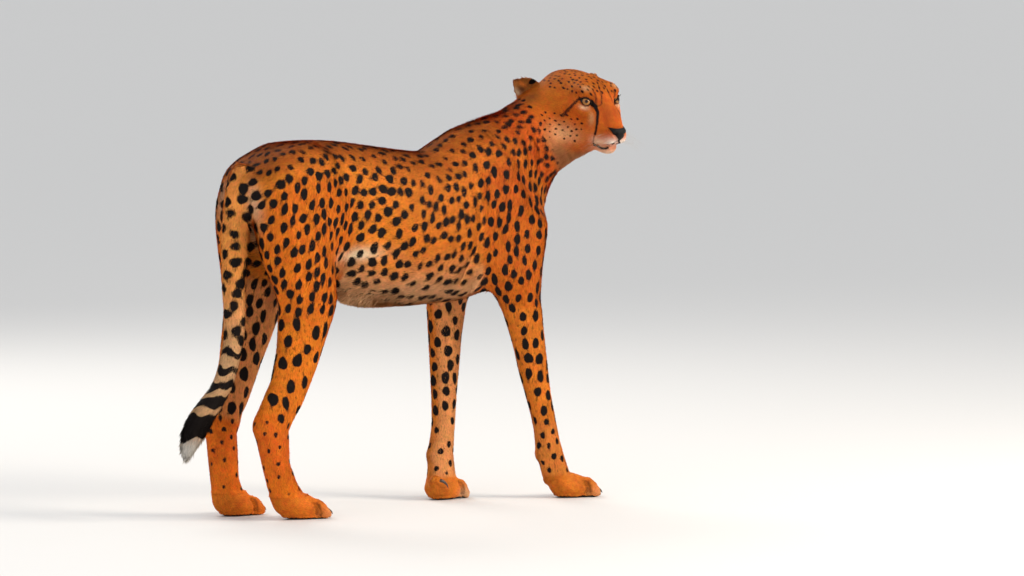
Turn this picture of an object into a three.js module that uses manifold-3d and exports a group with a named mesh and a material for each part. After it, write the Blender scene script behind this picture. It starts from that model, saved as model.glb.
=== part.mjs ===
// A standing cheetah at life size, its head turned to its right, in millimetres.
// While it is modelled, +X runs to the breast, +Y to the animal's left, +Z up, and the floor is z = 0.
// The body is one smooth field of swept and rounded masses. Each named piece takes the share of that
// field between its own flat cuts, so that the pieces meet with a thin gap.
import * as THREE from "three";
import { mergeVertices } from "three/addons/utils/BufferGeometryUtils.js";
import Module from "manifold-3d";

const wasm = await Module();
wasm.setup();

// ---- driving sizes ----
const gap = 0.4; // between two pieces that meet
const withersHeight = 760;
const rumpHeight = 746;
const backDip = 711;
const bellyHeight = 403;
const legSpread = 66; // from the midline to the middle of a foot
const eyeRadius = 12.5;
const eyeSpacing = 75;
const earLength = 51;
const earWidth = 56;
const earThickness = 4;
const clawLength = 18;
const clawRadius = 3.6;
const clawHeight = 12;
const foreToeReach = 62;
const hindToeReach = 58;

// Each ear: where its root is in the head, where it points, and where it opens, on the left side.
const earRoot = [-115, 70, -27];
const earPoints = [-0.33, 0.81, 0.48];
const earOpens = [0.9, 0.3, 0.12];
const earCup = 19;
const earWaist = 14; // below this an ear narrows towards its root
const earTaper = 0.2;
const earRootDepth = 38;
const eyeForward = 7;

// Where the head is carried: the point between the eyes, and how the head is turned there.
const eyeMiddle = [736, -100, 809];
const headYaw = THREE.MathUtils.degToRad(-89);
const headPitch = THREE.MathUtils.degToRad(18.7);
const headRoll = THREE.MathUtils.degToRad(2);

// The middle line of the trunk: x, half width, and the heights of back, widest part and belly.
const trunkRows = [
  { x: -78, side: 46, back: 698, mid: 655, belly: 606 },
  { x: -45, side: 76, back: 723, mid: 655, belly: 565 },
  { x: 0, side: 88, back: 740, mid: 650, belly: 536 },
  { x: 50, side: 88, back: rumpHeight, mid: 640, belly: 505 },
  { x: 120, side: 80, back: 742, mid: 620, belly: 462 },
  { x: 200, side: 82, back: 730, mid: 596, belly: 422 },
  { x: 280, side: 95, back: 718, mid: 580, belly: 404 },
  { x: 355, side: 102, back: backDip, mid: 572, belly: bellyHeight },
  { x: 430, side: 98, back: 739, mid: 578, belly: 406 },
  { x: 500, side: 86, back: withersHeight, mid: 590, belly: 428 },
  { x: 560, side: 72, back: 744, mid: 594, belly: 458 },
  { x: 600, side: 54, back: 690, mid: 588, belly: 496 },
];

// The neck, from inside the chest to the back of the skull.
const neckRows = [
  { at: [520, 0, 655], side: 80, up: 94, down: 110 },
  { at: [590, 2, 716], side: 68, up: 72, down: 86 },
  { at: [650, 8, 762], side: 58, up: 55, down: 76 },
  { at: [700, 8, 788], side: 54, up: 48, down: 66 },
  { at: [733, -18, 796], side: 52, up: 48, down: 58 },
];
// The throat, from the breast to under the jaw.
const throatRows = [
  { at: [600, 0, 655], side: 52, up: 58, down: 58 },
  { at: [648, -14, 690], side: 46, up: 52, down: 52 },
  { at: [698, -44, 721], side: 38, up: 40, down: 39 },
  { at: [734, -78, 750], side: 34, up: 36, down: 34 },
];

// A leg's section at each height: how far it reaches forward, back and sideways of its middle line.
const hindSections = [
  { z: 655, fore: 92, aft: 84, side: 48 },
  { z: 590, fore: 88, aft: 92, side: 50 },
  { z: 510, fore: 86, aft: 82, side: 47 },
  { z: 430, fore: 70, aft: 66, side: 42 },
  { z: 360, fore: 56, aft: 54, side: 36 },
  { z: 305, fore: 47, aft: 47, side: 31 },
  { z: 245, fore: 42, aft: 43, side: 28 },
  { z: 212, fore: 38, aft: 41, side: 27 },
  { z: 182, fore: 38, aft: 43, side: 27 },
  { z: 148, fore: 33, aft: 34, side: 25 },
  { z: 110, fore: 31, aft: 32, side: 25 },
  { z: 72, fore: 31, aft: 33, side: 27 },
  { z: 40, fore: 34, aft: 34, side: 30 },
];
const foreSections = [
  { z: 450, fore: 52, aft: 56, side: 36 },
  { z: 391, fore: 44, aft: 44, side: 34 },
  { z: 313, fore: 35, aft: 35, side: 29 },
  { z: 256, fore: 32, aft: 32, side: 26 },
  { z: 204, fore: 27, aft: 27, side: 23 },
  { z: 147, fore: 25, aft: 25, side: 23 },
  { z: 100, fore: 26, aft: 28, side: 24 },
  { z: 58, fore: 30, aft: 30, side: 27 },
];

// Each leg's middle line, as its x at the heights above, and where its foot points.
const legs = {
  hind_right: {
    y: -legSpread,
    hipY: -52,
    lineX: [0, -4, 0, 12, 1, -14, -38, -60, -72, -69, -63, -50, -34],
    foot: { x: -4, turn: -4, hind: true },
  },
  hind_left: {
    y: legSpread,
    hipY: 52,
    lineX: [-8, -14, -18, -19, -33, -50, -70, -87, -95, -96, -93, -88, -80],
    foot: { x: -62, turn: 10, hind: true },
  },
  fore_right: {
    y: -legSpread,
    hipY: -70,
    lineX: [546, 562, 584, 596, 611, 627, 637, 652],
    foot: { x: 690, turn: -8, hind: false },
  },
  fore_left: {
    y: legSpread,
    hipY: 70,
    lineX: [484, 478, 474, 472, 469, 468, 462, 462],
    foot: { x: 464, turn: 20, hind: false },
  },
};

// The tail hangs from the rump, passes the hocks and swings back at its end.
const tailRows = [
  { at: [-74, 0, 684], radius: 33 },
  { at: [-97, 0, 650], radius: 30 },
  { at: [-107, 0, 600], radius: 28 },
  { at: [-112, 0, 540], radius: 27 },
  { at: [-115, 0, 470], radius: 25 },
  { at: [-113, 0, 411], radius: 23 },
  { at: [-116, 0, 353], radius: 21.5 },
  { at: [-128, 0, 304], radius: 20.5 },
  { at: [-147, 0, 260], radius: 20.5 },
  { at: [-170, 0, 232], radius: 22.5 },
  { at: [-193, 0, 208], radius: 24 },
  { at: [-213, 0, 180], radius: 22 },
  { at: [-227, 0, 152], radius: 13 },
  { at: [-232, 0, 130], radius: 4 },
];
const tailSides = 10;
const tailRings = 22;

// Where the pieces are cut: heights up the hind legs, the forelegs and the tail.
const hindCuts = [50, 200, 400];
const foreCuts = [52, 165, 400];
const tailCuts = [490, 290];
const noseCuts = [
  cut([80, 0, 0], [1, 0, 0]),
  cut([0, 0, -34], [0, 0, -1]),
  cut([0, 0, -56], [0, 0, 1]),
  cut([0, 20, -34], [0, -0.9, 0.42]),
  cut([0, -20, -34], [0, 0.9, 0.42]),
];
const jawCuts = [cut([86, 0, -67], [0.25, 0, -0.97]), cut([24, 0, -80], [1, 0, 0])];
const headCut = cut([-100, -90, -56], [0.25, 0.82, 0.52]);
const neckCut = cut([578, 0, 700], [0.74, 0, 0.67]);

// A cut keeps what lies on one side of the plane through a point. Facing says which side.
function cut(at, facing) {
  return { at, facing };
}

// How finely each piece's surface is meshed, and how many triangles are kept of it.
const meshing = {
  trunk: { cell: 24, keep: 1090 },
  neck: { cell: 15, keep: 460 },
  head: { cell: 8, keep: 1520 },
  nose: { cell: 5, keep: 90 },
  jaw: { cell: 6, keep: 230 },
  paw: { cell: 7, keep: 340 },
  hock: { cell: 11, keep: 250 },
  wrist: { cell: 10, keep: 150 },
  shank: { cell: 13, keep: 230 },
  forearm: { cell: 12, keep: 190 },
  thigh: { cell: 18, keep: 290 },
  shoulder: { cell: 18, keep: 300 },
};
const bodyExtent = { low: [-140, -125, -8], high: [790, 125, 785] };
const neckExtent = { low: [480, -110, 560], high: [830, 90, 900] };
const headExtent = { low: [-190, -150, -140], high: [100, 96, 52] };

const coat = {
  tawny: { color: 0xd98a3c, roughness: 0.85, metalness: 0 },
  pale: { color: 0xe9c9a0, roughness: 0.85, metalness: 0 },
  tail: { color: 0xb9773a, roughness: 0.85, metalness: 0 },
  leather: { color: 0x17120f, roughness: 0.55, metalness: 0 },
  eye: { color: 0xb06a1c, roughness: 0.15, metalness: 0 },
  claw: { color: 0x3a2f28, roughness: 0.45, metalness: 0 },
};

// ---- fields: a value under zero is inside, and it grows by about one for each millimetre outwards ----
function smoothUnion(a, b, blend) {
  const near = Math.max(blend - Math.abs(a - b), 0) / blend;
  return Math.min(a, b) - (near * near * blend) / 4;
}

function ellipsoidDistance(x, y, z, a, b, c) {
  const q = Math.hypot(x / a, y / b, z / c);
  if (q < 1e-5) return -Math.min(a, b, c);
  return ((q - 1) * q) / Math.hypot(x / (a * a), y / (b * b), z / (c * c));
}

// A rounded mass: an ellipsoid with its radii along the frame's axes, nosed down by tilt and turned
// by turn, both in degrees.
function mass(at, radii, tilt = 0, turn = 0) {
  const [pitch, yaw] = [tilt, turn].map(THREE.MathUtils.degToRad);
  const toLocal = new THREE.Matrix4()
    .makeRotationFromEuler(new THREE.Euler(0, pitch, yaw, "ZYX"))
    .setPosition(...at)
    .invert();
  const e = toLocal.elements;
  return (x, y, z) =>
    ellipsoidDistance(
      e[0] * x + e[4] * y + e[8] * z + e[12],
      e[1] * x + e[5] * y + e[9] * z + e[13],
      e[2] * x + e[6] * y + e[10] * z + e[14],
      ...radii,
    );
}

function curveThrough(points) {
  return new THREE.CatmullRomCurve3(points.map((point) => new THREE.Vector3(...point)));
}

// A section swept along a smooth line. Each row gives the point, the half width, and the reach up and
// down of it, and upward says which way up is.
function sweep(rows, upward, steps = 5) {
  const line = curveThrough(rows.map((row) => row.at));
  const sizes = curveThrough(rows.map((row) => [row.side, row.up, row.down]));
  const count = (rows.length - 1) * steps;
  const rings = Array.from({ length: count + 1 }, (_, i) => {
    const t = i / count;
    const along = line.getTangent(t);
    const side = new THREE.Vector3().crossVectors(upward, along).normalize();
    return {
      at: line.getPoint(t),
      size: sizes.getPoint(t),
      along,
      side,
      up: new THREE.Vector3().crossVectors(along, side),
    };
  });
  const links = rings.slice(1).map((ring, i) => {
    const start = rings[i];
    const step = new THREE.Vector3().subVectors(ring.at, start.at);
    return { start, end: ring, step, length2: step.lengthSq() };
  });
  const blendOf = (key, part, link, t) => link.start[key][part] * (1 - t) + link.end[key][part] * t;
  return (x, y, z) => {
    let best = Infinity;
    let bestLink = links[0];
    let bestT = 0;
    for (const link of links) {
      const { at } = link.start;
      const dx = x - at.x;
      const dy = y - at.y;
      const dz = z - at.z;
      const dot = dx * link.step.x + dy * link.step.y + dz * link.step.z;
      const t = Math.min(Math.max(dot / link.length2, 0), 1);
      const away = (dx - t * link.step.x) ** 2 + (dy - t * link.step.y) ** 2 + (dz - t * link.step.z) ** 2;
      if (away < best) {
        best = away;
        bestLink = link;
        bestT = t;
      }
    }
    const mix = (key, part) => blendOf(key, part, bestLink, bestT);
    const dx = x - mix("at", "x");
    const dy = y - mix("at", "y");
    const dz = z - mix("at", "z");
    const across = dx * mix("side", "x") + dy * mix("side", "y") + dz * mix("side", "z");
    const rise = dx * mix("up", "x") + dy * mix("up", "y") + dz * mix("up", "z");
    const along = dx * mix("along", "x") + dy * mix("along", "y") + dz * mix("along", "z");
    const half = mix("size", "x");
    const reach = rise > 0 ? mix("size", "y") : mix("size", "z");
    return ellipsoidDistance(across, rise, along, half, reach, Math.min(half, reach));
  };
}

// Joins fields into one: each part is [field, blend], with blend in millimetres of rounding.
function joined(parts) {
  const [[first], ...others] = parts;
  return (x, y, z) =>
    others.reduce((d, [field, blend]) => smoothUnion(d, field(x, y, z), blend), first(x, y, z));
}

// ---- the trunk and neck ----
const up = new THREE.Vector3(0, 0, 1);
const front = new THREE.Vector3(1, 0, 0);
const trunkField = sweep(
  trunkRows.map((row) => ({
    at: [row.x, 0, row.mid],
    side: row.side,
    up: row.back - row.mid,
    down: row.mid - row.belly,
  })),
  up,
);
const neckField = joined([[sweep(neckRows, up), 0], [sweep(throatRows, up), 30]]);

// ---- the legs and feet ----
function footField({ x, turn, hind }, y) {
  const angle = THREE.MathUtils.degToRad(turn);
  const cos = Math.cos(angle);
  const sin = Math.sin(angle);
  const knuckle = hind ? 30 : 33;
  const toeReach = hind ? hindToeReach : foreToeReach;
  const parts = [
    [mass([-4, 0, 24], [40, 32, 27]), 0],
    [mass([8, 0, 12], [30, 30, 15]), 8],
  ];
  for (const [across, reach] of toePlaces(toeReach)) {
    parts.push([mass([reach - 26, across * 0.9, knuckle - 9], [22, 12, 17], 18, across * 0.2), 7]);
    parts.push([mass([reach - 8, across, 12], [17, 10.5, 13], 12, across * 0.2), 5]);
  }
  const local = joined(parts);
  return (wx, wy, wz) => {
    const dx = wx - x;
    const dy = wy - y;
    return local(dx * cos + dy * sin, dy * cos - dx * sin, wz);
  };
}

// The four toes of a foot, as their place across it and how far forward they reach.
function toePlaces(toeReach) {
  return [-27, -9.5, 9.5, 27].map((across) => [across, toeReach - Math.abs(across) * 0.42]);
}

function legField(name) {
  const leg = legs[name];
  const { hind, x: footX } = leg.foot;
  const sections = hind ? hindSections : foreSections;
  const top = sections[0].z;
  const rows = sections.map(({ z, fore, aft, side }, i) => {
    const lift = Math.min(Math.max((z - top + 260) / 260, 0), 1);
    const y = leg.y + (leg.hipY - leg.y) * lift;
    return { at: [leg.lineX[i], y, z], side, up: fore, down: aft };
  });
  const parts = [[sweep(rows, front), 0], [footField(leg.foot, leg.y), 16]];
  const sign = Math.sign(leg.y);
  if (hind) {
    parts.push([mass([leg.lineX[0] + 34, leg.hipY * 0.95, 640], [62, 44, 96], -14), 30]);
    parts.push([mass([leg.lineX[1] - 46, leg.hipY * 1.05, 608], [43, 38, 94], 8), 30]);
    parts.push([mass([leg.lineX[3] + 44, leg.y, 424], [24, 24, 30]), 24]);
    parts.push([mass([leg.lineX[8] - 30, leg.y, 186], [14, 15, 24]), 14]);
  } else {
    const elbowX = leg.lineX[0];
    const shoulder = [580, sign * 62, 558];
    parts.push([sweep([
      { at: [478, sign * 44, 708], side: 24, up: 40, down: 44 },
      { at: [522, sign * 58, 640], side: 31, up: 54, down: 56 },
      { at: shoulder, side: 33, up: 46, down: 50 },
    ], front), 40]);
    parts.push([sweep([
      { at: shoulder, side: 33, up: 44, down: 44 },
      { at: [(shoulder[0] + elbowX) / 2, sign * 68, 508], side: 35, up: 52, down: 58 },
      { at: [elbowX, sign * 70, 455], side: 35, up: 46, down: 54 },
    ], front), 36]);
    parts.push([mass([elbowX - 46, sign * 72, 455], [18, 19, 24]), 22]);
    parts.push([mass([leg.lineX[6] - 26, leg.y, 92], [11, 12, 14]), 8]);
    parts.push([mass([footX - 40, leg.y - sign * 20, 40], [10, 8, 14], 20), 7]);
  }
  return joined(parts);
}
const legFields = Object.fromEntries(Object.keys(legs).map((name) => [name, legField(name)]));

// ---- the head, in its own frame: +X to the nose, +Y its left, +Z up, from between the eyes ----
const headFrame = new THREE.Matrix4()
  .makeRotationFromEuler(new THREE.Euler(headRoll, headPitch, headYaw, "ZYX"))
  .setPosition(...eyeMiddle);
const headInverse = headFrame.clone().invert();

function bothSides(at, radii, tilt, turn, blend) {
  return [1, -1].map((s) => [mass([at[0], s * at[1], at[2]], radii, tilt, s * turn), blend]);
}

function headField() {
  const muzzle = sweep(
    [
      { at: [-8, 0, -26], side: 46, up: 36, down: 42 },
      { at: [22, 0, -32], side: 41, up: 36, down: 38 },
      { at: [48, 0, -43], side: 34, up: 30, down: 32 },
      { at: [67, 0, -49], side: 26, up: 22, down: 20 },
    ],
    up,
  );
  const solid = joined([
    [mass([-64, 0, -9], [80, 61, 43]), 0],
    [mass([-16, 0, 3], [46, 46, 33], 12), 24],
    [muzzle, 18],
    ...bothSides([-5, 36, 18], [24, 15, 13], 10, -18, 14),
    ...bothSides([-8, 43, -20], [42, 17, 19], 8, -20, 20),
    ...bothSides([-60, 40, -36], [50, 31, 38], 4, -6, 26),
    ...bothSides([57, 17, -55], [24, 18, 14], 4, -10, 12),
    [mass([54, 0, -82], [22, 20, 15], -6), 10],
    ...bothSides([10, 24, -74], [44, 17, 18], -4, 14, 18),
    [mass([-34, 0, -62], [58, 42, 30], -8), 24],
    [mass([75, 0, -43], [14, 20, 13], 20), 7],
  ]);
  const hollows = [1, -1].map((s) => mass([31, s * 43, 0], [20, 17, 12], 0, s * 30));
  return (x, y, z) => hollows.reduce((d, hollow) => -smoothUnion(-d, hollow(x, y, z), 9), solid(x, y, z));
}
const headLocal = headField();
const headWorld = (x, y, z) => {
  const e = headInverse.elements;
  return headLocal(
    e[0] * x + e[4] * y + e[8] * z + e[12],
    e[1] * x + e[5] * y + e[9] * z + e[13],
    e[2] * x + e[6] * y + e[10] * z + e[14],
  );
};

const bodyField = joined([
  [trunkField, 0],
  [neckField, 60],
  [headWorld, 34],
  [legFields.hind_right, 26],
  [legFields.hind_left, 26],
  [legFields.fore_right, 26],
  [legFields.fore_left, 26],
]);
// The same field, read in the head's frame.
const bodyInHead = (x, y, z) => {
  const e = headFrame.elements;
  return bodyField(
    e[0] * x + e[4] * y + e[8] * z + e[12],
    e[1] * x + e[5] * y + e[9] * z + e[13],
    e[2] * x + e[6] * y + e[10] * z + e[14],
  );
};

// ---- surfaces ----
// The corners of a cell, and the pairs of them that its twelve edges join.
const corners = [0, 1, 2, 3, 4, 5, 6, 7].map((c) => [c & 1, (c >> 1) & 1, (c >> 2) & 1]);
const cellEdges = [1, 2, 4].flatMap((bit) =>
  [0, 1, 2, 3, 4, 5, 6, 7].filter((c) => !(c & bit)).map((c) => [c, c | bit]),
);

function eachCell(size, visit) {
  for (let k = 0; k < size[2]; k++) {
    for (let j = 0; j < size[1]; j++) {
      for (let i = 0; i < size[0]; i++) visit([i, j, k]);
    }
  }
}

// The middle of the places where the surface crosses a cell's edges, from 0 to 1 in the cell.
function crossingMiddle(values) {
  const crossings = cellEdges
    .filter(([a, b]) => values[a] < 0 !== values[b] < 0)
    .map(([a, b]) => {
      const t = values[a] / (values[a] - values[b]);
      return corners[a].map((v, axis) => v + t * (corners[b][axis] - v));
    });
  if (!crossings.length) return null;
  return [0, 1, 2].map((axis) => crossings.reduce((sum, p) => sum + p[axis], 0) / crossings.length);
}

// Where four grid points round a square are in and out by turns, the surface would touch itself along
// an edge. The one outside that is nearer the surface is then taken in, until no such square is left.
function fillPinches(values, cells, stride, indexOf) {
  let filled = 0;
  eachCell(cells, (ijk) => {
    const n = indexOf(ijk);
    for (const axis of [0, 1, 2]) {
      const across = stride[(axis + 1) % 3];
      const along = stride[(axis + 2) % 3];
      const [a, b, c, d] = [n, n + across, n + across + along, n + along];
      const in0 = values[a] < 0;
      if (in0 !== values[c] < 0 || in0 === values[b] < 0 || in0 === values[d] < 0) continue;
      const [m, o] = in0 ? [b, d] : [a, c];
      values[values[m] < values[o] ? m : o] = -0.01;
      filled++;
    }
  });
  if (filled) fillPinches(values, cells, stride, indexOf);
}

// Wraps a mesh round the inside of a field within a box of cells: one point in each cell that the
// surface crosses, moved onto the surface, and one square across each edge that it crosses.
function skinOf(field, low, high, cell) {
  const size = low.map((v, axis) => Math.ceil((high[axis] - v) / cell) + 1);
  const cells = size.map((count) => count - 1);
  const stride = [1, size[0], size[0] * size[1]];
  const indexOf = (ijk) => ijk[0] + ijk[1] * stride[1] + ijk[2] * stride[2];
  const placeOf = (ijk) => ijk.map((v, axis) => low[axis] + v * cell);
  const values = new Float64Array(size[0] * size[1] * size[2]);
  eachCell(size, (ijk) => {
    const onEdge = ijk.some((v, axis) => v === 0 || v === size[axis] - 1);
    const value = onEdge ? 5 : field(...placeOf(ijk));
    values[indexOf(ijk)] = Math.abs(value) < 0.01 ? 0.01 : value;
  });
  fillPinches(values, cells, stride, indexOf);
  const points = [];
  const pointOf = new Map();
  eachCell(cells, (ijk) => {
    const n = indexOf(ijk);
    const middle = crossingMiddle(corners.map((corner) => values[n + indexOf(corner)]));
    if (!middle) return;
    const base = placeOf(ijk);
    const start = base.map((p, axis) => p + middle[axis] * cell);
    pointOf.set(n, points.length);
    points.push(onSurface(field, start, base, cell));
  });
  const faces = [];
  for (const axis of [0, 1, 2]) {
    const u = (axis + 1) % 3;
    const w = (axis + 2) % 3;
    eachCell(cells, (ijk) => {
      const n = indexOf(ijk);
      const inside = values[n] < 0;
      if (ijk[u] === 0 || ijk[w] === 0 || inside === values[n + stride[axis]] < 0) return;
      const ring = [n, n - stride[u], n - stride[u] - stride[w], n - stride[w]];
      if (!inside) ring.reverse();
      addSquare(faces, points, ring.map((m) => pointOf.get(m)));
    });
  }
  return { points, faces };
}

// Steps a point down the field's slope to the surface, without leaving its cell by much.
function onSurface(field, start, base, cell) {
  const point = [...start];
  for (let step = 0; step < 3; step++) {
    const value = field(...point);
    const slope = [0, 1, 2].map((axis) => {
      const ahead = [...point];
      ahead[axis] += 0.5;
      return (field(...ahead) - value) / 0.5;
    });
    const length2 = slope.reduce((sum, s) => sum + s * s, 1e-6);
    for (let axis = 0; axis < 3; axis++) {
      const moved = point[axis] - (value * slope[axis]) / length2;
      point[axis] = THREE.MathUtils.clamp(moved, base[axis] - cell * 0.1, base[axis] + cell * 1.1);
    }
  }
  return point;
}

// Two triangles for a square, along its shorter diagonal.
function addSquare(faces, points, [a, b, c, d]) {
  const span = (p, q) => Math.hypot(...points[p].map((v, axis) => v - points[q][axis]));
  if (span(a, c) < span(b, d)) faces.push([a, b, c], [a, c, d]);
  else faces.push([a, b, d], [b, c, d]);
}

// Thins a closed mesh to about a given number of triangles. The edge that costs the least shape is
// drawn together first, as long as the surface stays closed and no face turns over.
function thinned({ points, faces }, keep) {
  const at = points.map((p) => new THREE.Vector3(...p));
  const live = faces.map((f) => [...f]);
  const around = at.map(() => new Set());
  const planes = at.map(() => new Float64Array(10));
  const normalOf = ([a, b, c]) =>
    new THREE.Vector3().crossVectors(at[b].clone().sub(at[a]), at[c].clone().sub(at[a]));
  live.forEach((face, i) => {
    const normal = normalOf(face);
    const area = normal.length();
    normal.normalize();
    const v = [normal.x, normal.y, normal.z, -normal.dot(at[face[0]])];
    const squares = v.flatMap((a, r) => v.slice(r).map((b) => area * a * b));
    for (const p of face) {
      around[p].add(i);
      squares.forEach((square, n) => (planes[p][n] += square));
    }
  });
  const costAt = (q, { x, y, z }) =>
    q[0] * x * x + 2 * q[1] * x * y + 2 * q[2] * x * z + 2 * q[3] * x + q[4] * y * y +
    2 * q[5] * y * z + 2 * q[6] * y + q[7] * z * z + 2 * q[8] * z + q[9];
  const beside = (p) => new Set([...around[p]].flatMap((i) => live[i]).filter((other) => other !== p));
  const plan = (a, b) => {
    const q = planes[a].map((v, n) => v + planes[b][n]);
    const middle = at[a].clone().add(at[b]).multiplyScalar(0.5);
    const [best] = [at[a], at[b], middle].map((p) => [costAt(q, p), p]).sort((m, n) => m[0] - n[0]);
    return { a, b, to: best[1].clone(), cost: best[0] + at[a].distanceToSquared(at[b]) * 0.02 };
  };
  const turnsOver = (p, gone, to) =>
    [...around[p]].some((i) => {
      const face = live[i];
      if (face.includes(gone)) return false;
      const before = normalOf(face);
      const [o, m, n] = face.map((v) => (v === p ? to : at[v]));
      const after = new THREE.Vector3().crossVectors(m.clone().sub(o), n.clone().sub(o));
      return after.dot(before) < 0.4 * after.length() * before.length();
    });
  let count = live.length;
  while (count > keep) {
    const edges = [];
    at.forEach((_, a) => beside(a).forEach((b) => b > a && edges.push(plan(a, b))));
    edges.sort((m, n) => m.cost - n.cost);
    const touched = new Set();
    let drawn = 0;
    for (const { a, b, to } of edges.slice(0, Math.ceil(edges.length * 0.12))) {
      if (count <= keep) break;
      if (touched.has(a) || touched.has(b)) continue;
      const sideA = beside(a);
      const sideB = beside(b);
      if ([...sideA].filter((p) => sideB.has(p)).length !== 2) continue;
      if (turnsOver(a, b, to) || turnsOver(b, a, to)) continue;
      for (const i of [...around[b]]) {
        around[b].delete(i);
        if (live[i].includes(a)) {
          live[i].forEach((p) => around[p].delete(i));
          live[i] = null;
          count--;
        } else {
          live[i] = live[i].map((p) => (p === b ? a : p));
          around[a].add(i);
        }
      }
      at[a].copy(to);
      planes[a] = planes[a].map((v, n) => v + planes[b][n]);
      for (const p of [a, b, ...sideA, ...sideB]) touched.add(p);
      drawn++;
    }
    if (!drawn) break;
  }
  const used = new Map();
  const kept = live.filter(Boolean).map((face) =>
    face.map((p) => {
      if (!used.has(p)) used.set(p, used.size);
      return used.get(p);
    }),
  );
  return { points: [...used.keys()].map((p) => at[p].toArray()), faces: kept };
}

// ---- solids ----
function solidFrom({ points, faces }) {
  return new wasm.Manifold(
    new wasm.Mesh({
      numProp: 3,
      vertProperties: new Float32Array(points.flat()),
      triVerts: new Uint32Array(faces.flat()),
    }),
  );
}

function solidOf(geometry, matrix) {
  const bare = geometry.clone().applyMatrix4(matrix);
  bare.deleteAttribute("normal");
  bare.deleteAttribute("uv");
  const merged = mergeVertices(bare, 1e-3);
  return new wasm.Manifold(
    new wasm.Mesh({
      numProp: 3,
      vertProperties: merged.attributes.position.array,
      triVerts: new Uint32Array(merged.index.array),
    }),
  );
}

function geometryOf(solid) {
  const mesh = solid.getMesh();
  const geometry = new THREE.BufferGeometry();
  geometry.setAttribute("position", new THREE.BufferAttribute(new Float32Array(mesh.vertProperties), 3));
  geometry.setIndex(new THREE.BufferAttribute(new Uint32Array(mesh.triVerts), 1));
  geometry.computeVertexNormals();
  return geometry;
}

function solidOfCut({ at, facing }, grow) {
  const normal = new THREE.Vector3(...facing).normalize();
  const reach = 1500;
  const middle = new THREE.Vector3(...at).addScaledVector(normal, reach - grow);
  const turn = new THREE.Quaternion().setFromUnitVectors(front, normal);
  const matrix = new THREE.Matrix4().compose(middle, turn, new THREE.Vector3(1, 1, 1));
  return solidOf(new THREE.BoxGeometry(2 * reach, 2 * reach, 2 * reach), matrix);
}

// The space that several cuts leave, grown by a margin.
function regionOf(cuts, grow = 0) {
  return cuts.map((one) => solidOfCut(one, grow)).reduce((space, other) => space.intersect(other));
}

// Cutting can leave a crumb beside a piece, which is dropped.
function largestOf(solid) {
  return solid.decompose().reduce((best, part) => (part.volume() > best.volume() ? part : best));
}

// A piece of flesh: the field inside a region, meshed finely and then thinned.
function fleshPiece(field, region, extent, { cell, keep }) {
  const { min, max } = region.boundingBox();
  const low = extent.low.map((v, axis) => Math.max(v, min[axis]) - 1.6 * cell);
  const high = extent.high.map((v, axis) => Math.min(v, max[axis]) + 1.6 * cell);
  const fine = skinOf(field, low, high, cell);
  return solidFrom(thinned(fine, keep)).intersect(region);
}

// A closed tube round a smooth line, with a radius at each row and its ends closed flat.
function tubeOf(rows, sides, ringCount, grow = 0) {
  const line = curveThrough(rows.map((row) => row.at));
  const radii = curveThrough(rows.map((row) => [row.radius, 0, 0]));
  const reference = new THREE.Vector3(0, 1, 0);
  const points = [];
  const faces = [];
  for (let i = 0; i <= ringCount; i++) {
    const t = i / ringCount;
    const along = line.getTangent(t);
    const out = new THREE.Vector3().crossVectors(reference, along).normalize();
    const side = new THREE.Vector3().crossVectors(along, out);
    const radius = radii.getPoint(t).x + grow;
    const ends = (i === ringCount) - (i === 0);
    const middle = line.getPoint(t).addScaledVector(along, ends * grow);
    for (let k = 0; k < sides; k++) {
      const angle = (2 * Math.PI * k) / sides;
      const point = middle.clone().addScaledVector(out, radius * Math.cos(angle));
      points.push(point.addScaledVector(side, radius * Math.sin(angle)).toArray());
    }
  }
  const at = (i, k) => i * sides + (k % sides);
  eachCell([sides, ringCount, 1], ([k, i]) => {
    faces.push([at(i, k), at(i, k + 1), at(i + 1, k + 1)]);
    faces.push([at(i, k), at(i + 1, k + 1), at(i + 1, k)]);
  });
  for (let k = 1; k < sides - 1; k++) {
    faces.push([at(0, 0), at(0, k + 1), at(0, k)]);
    faces.push([at(ringCount, 0), at(ringCount, k), at(ringCount, k + 1)]);
  }
  return solidFrom({ points, faces });
}

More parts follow.
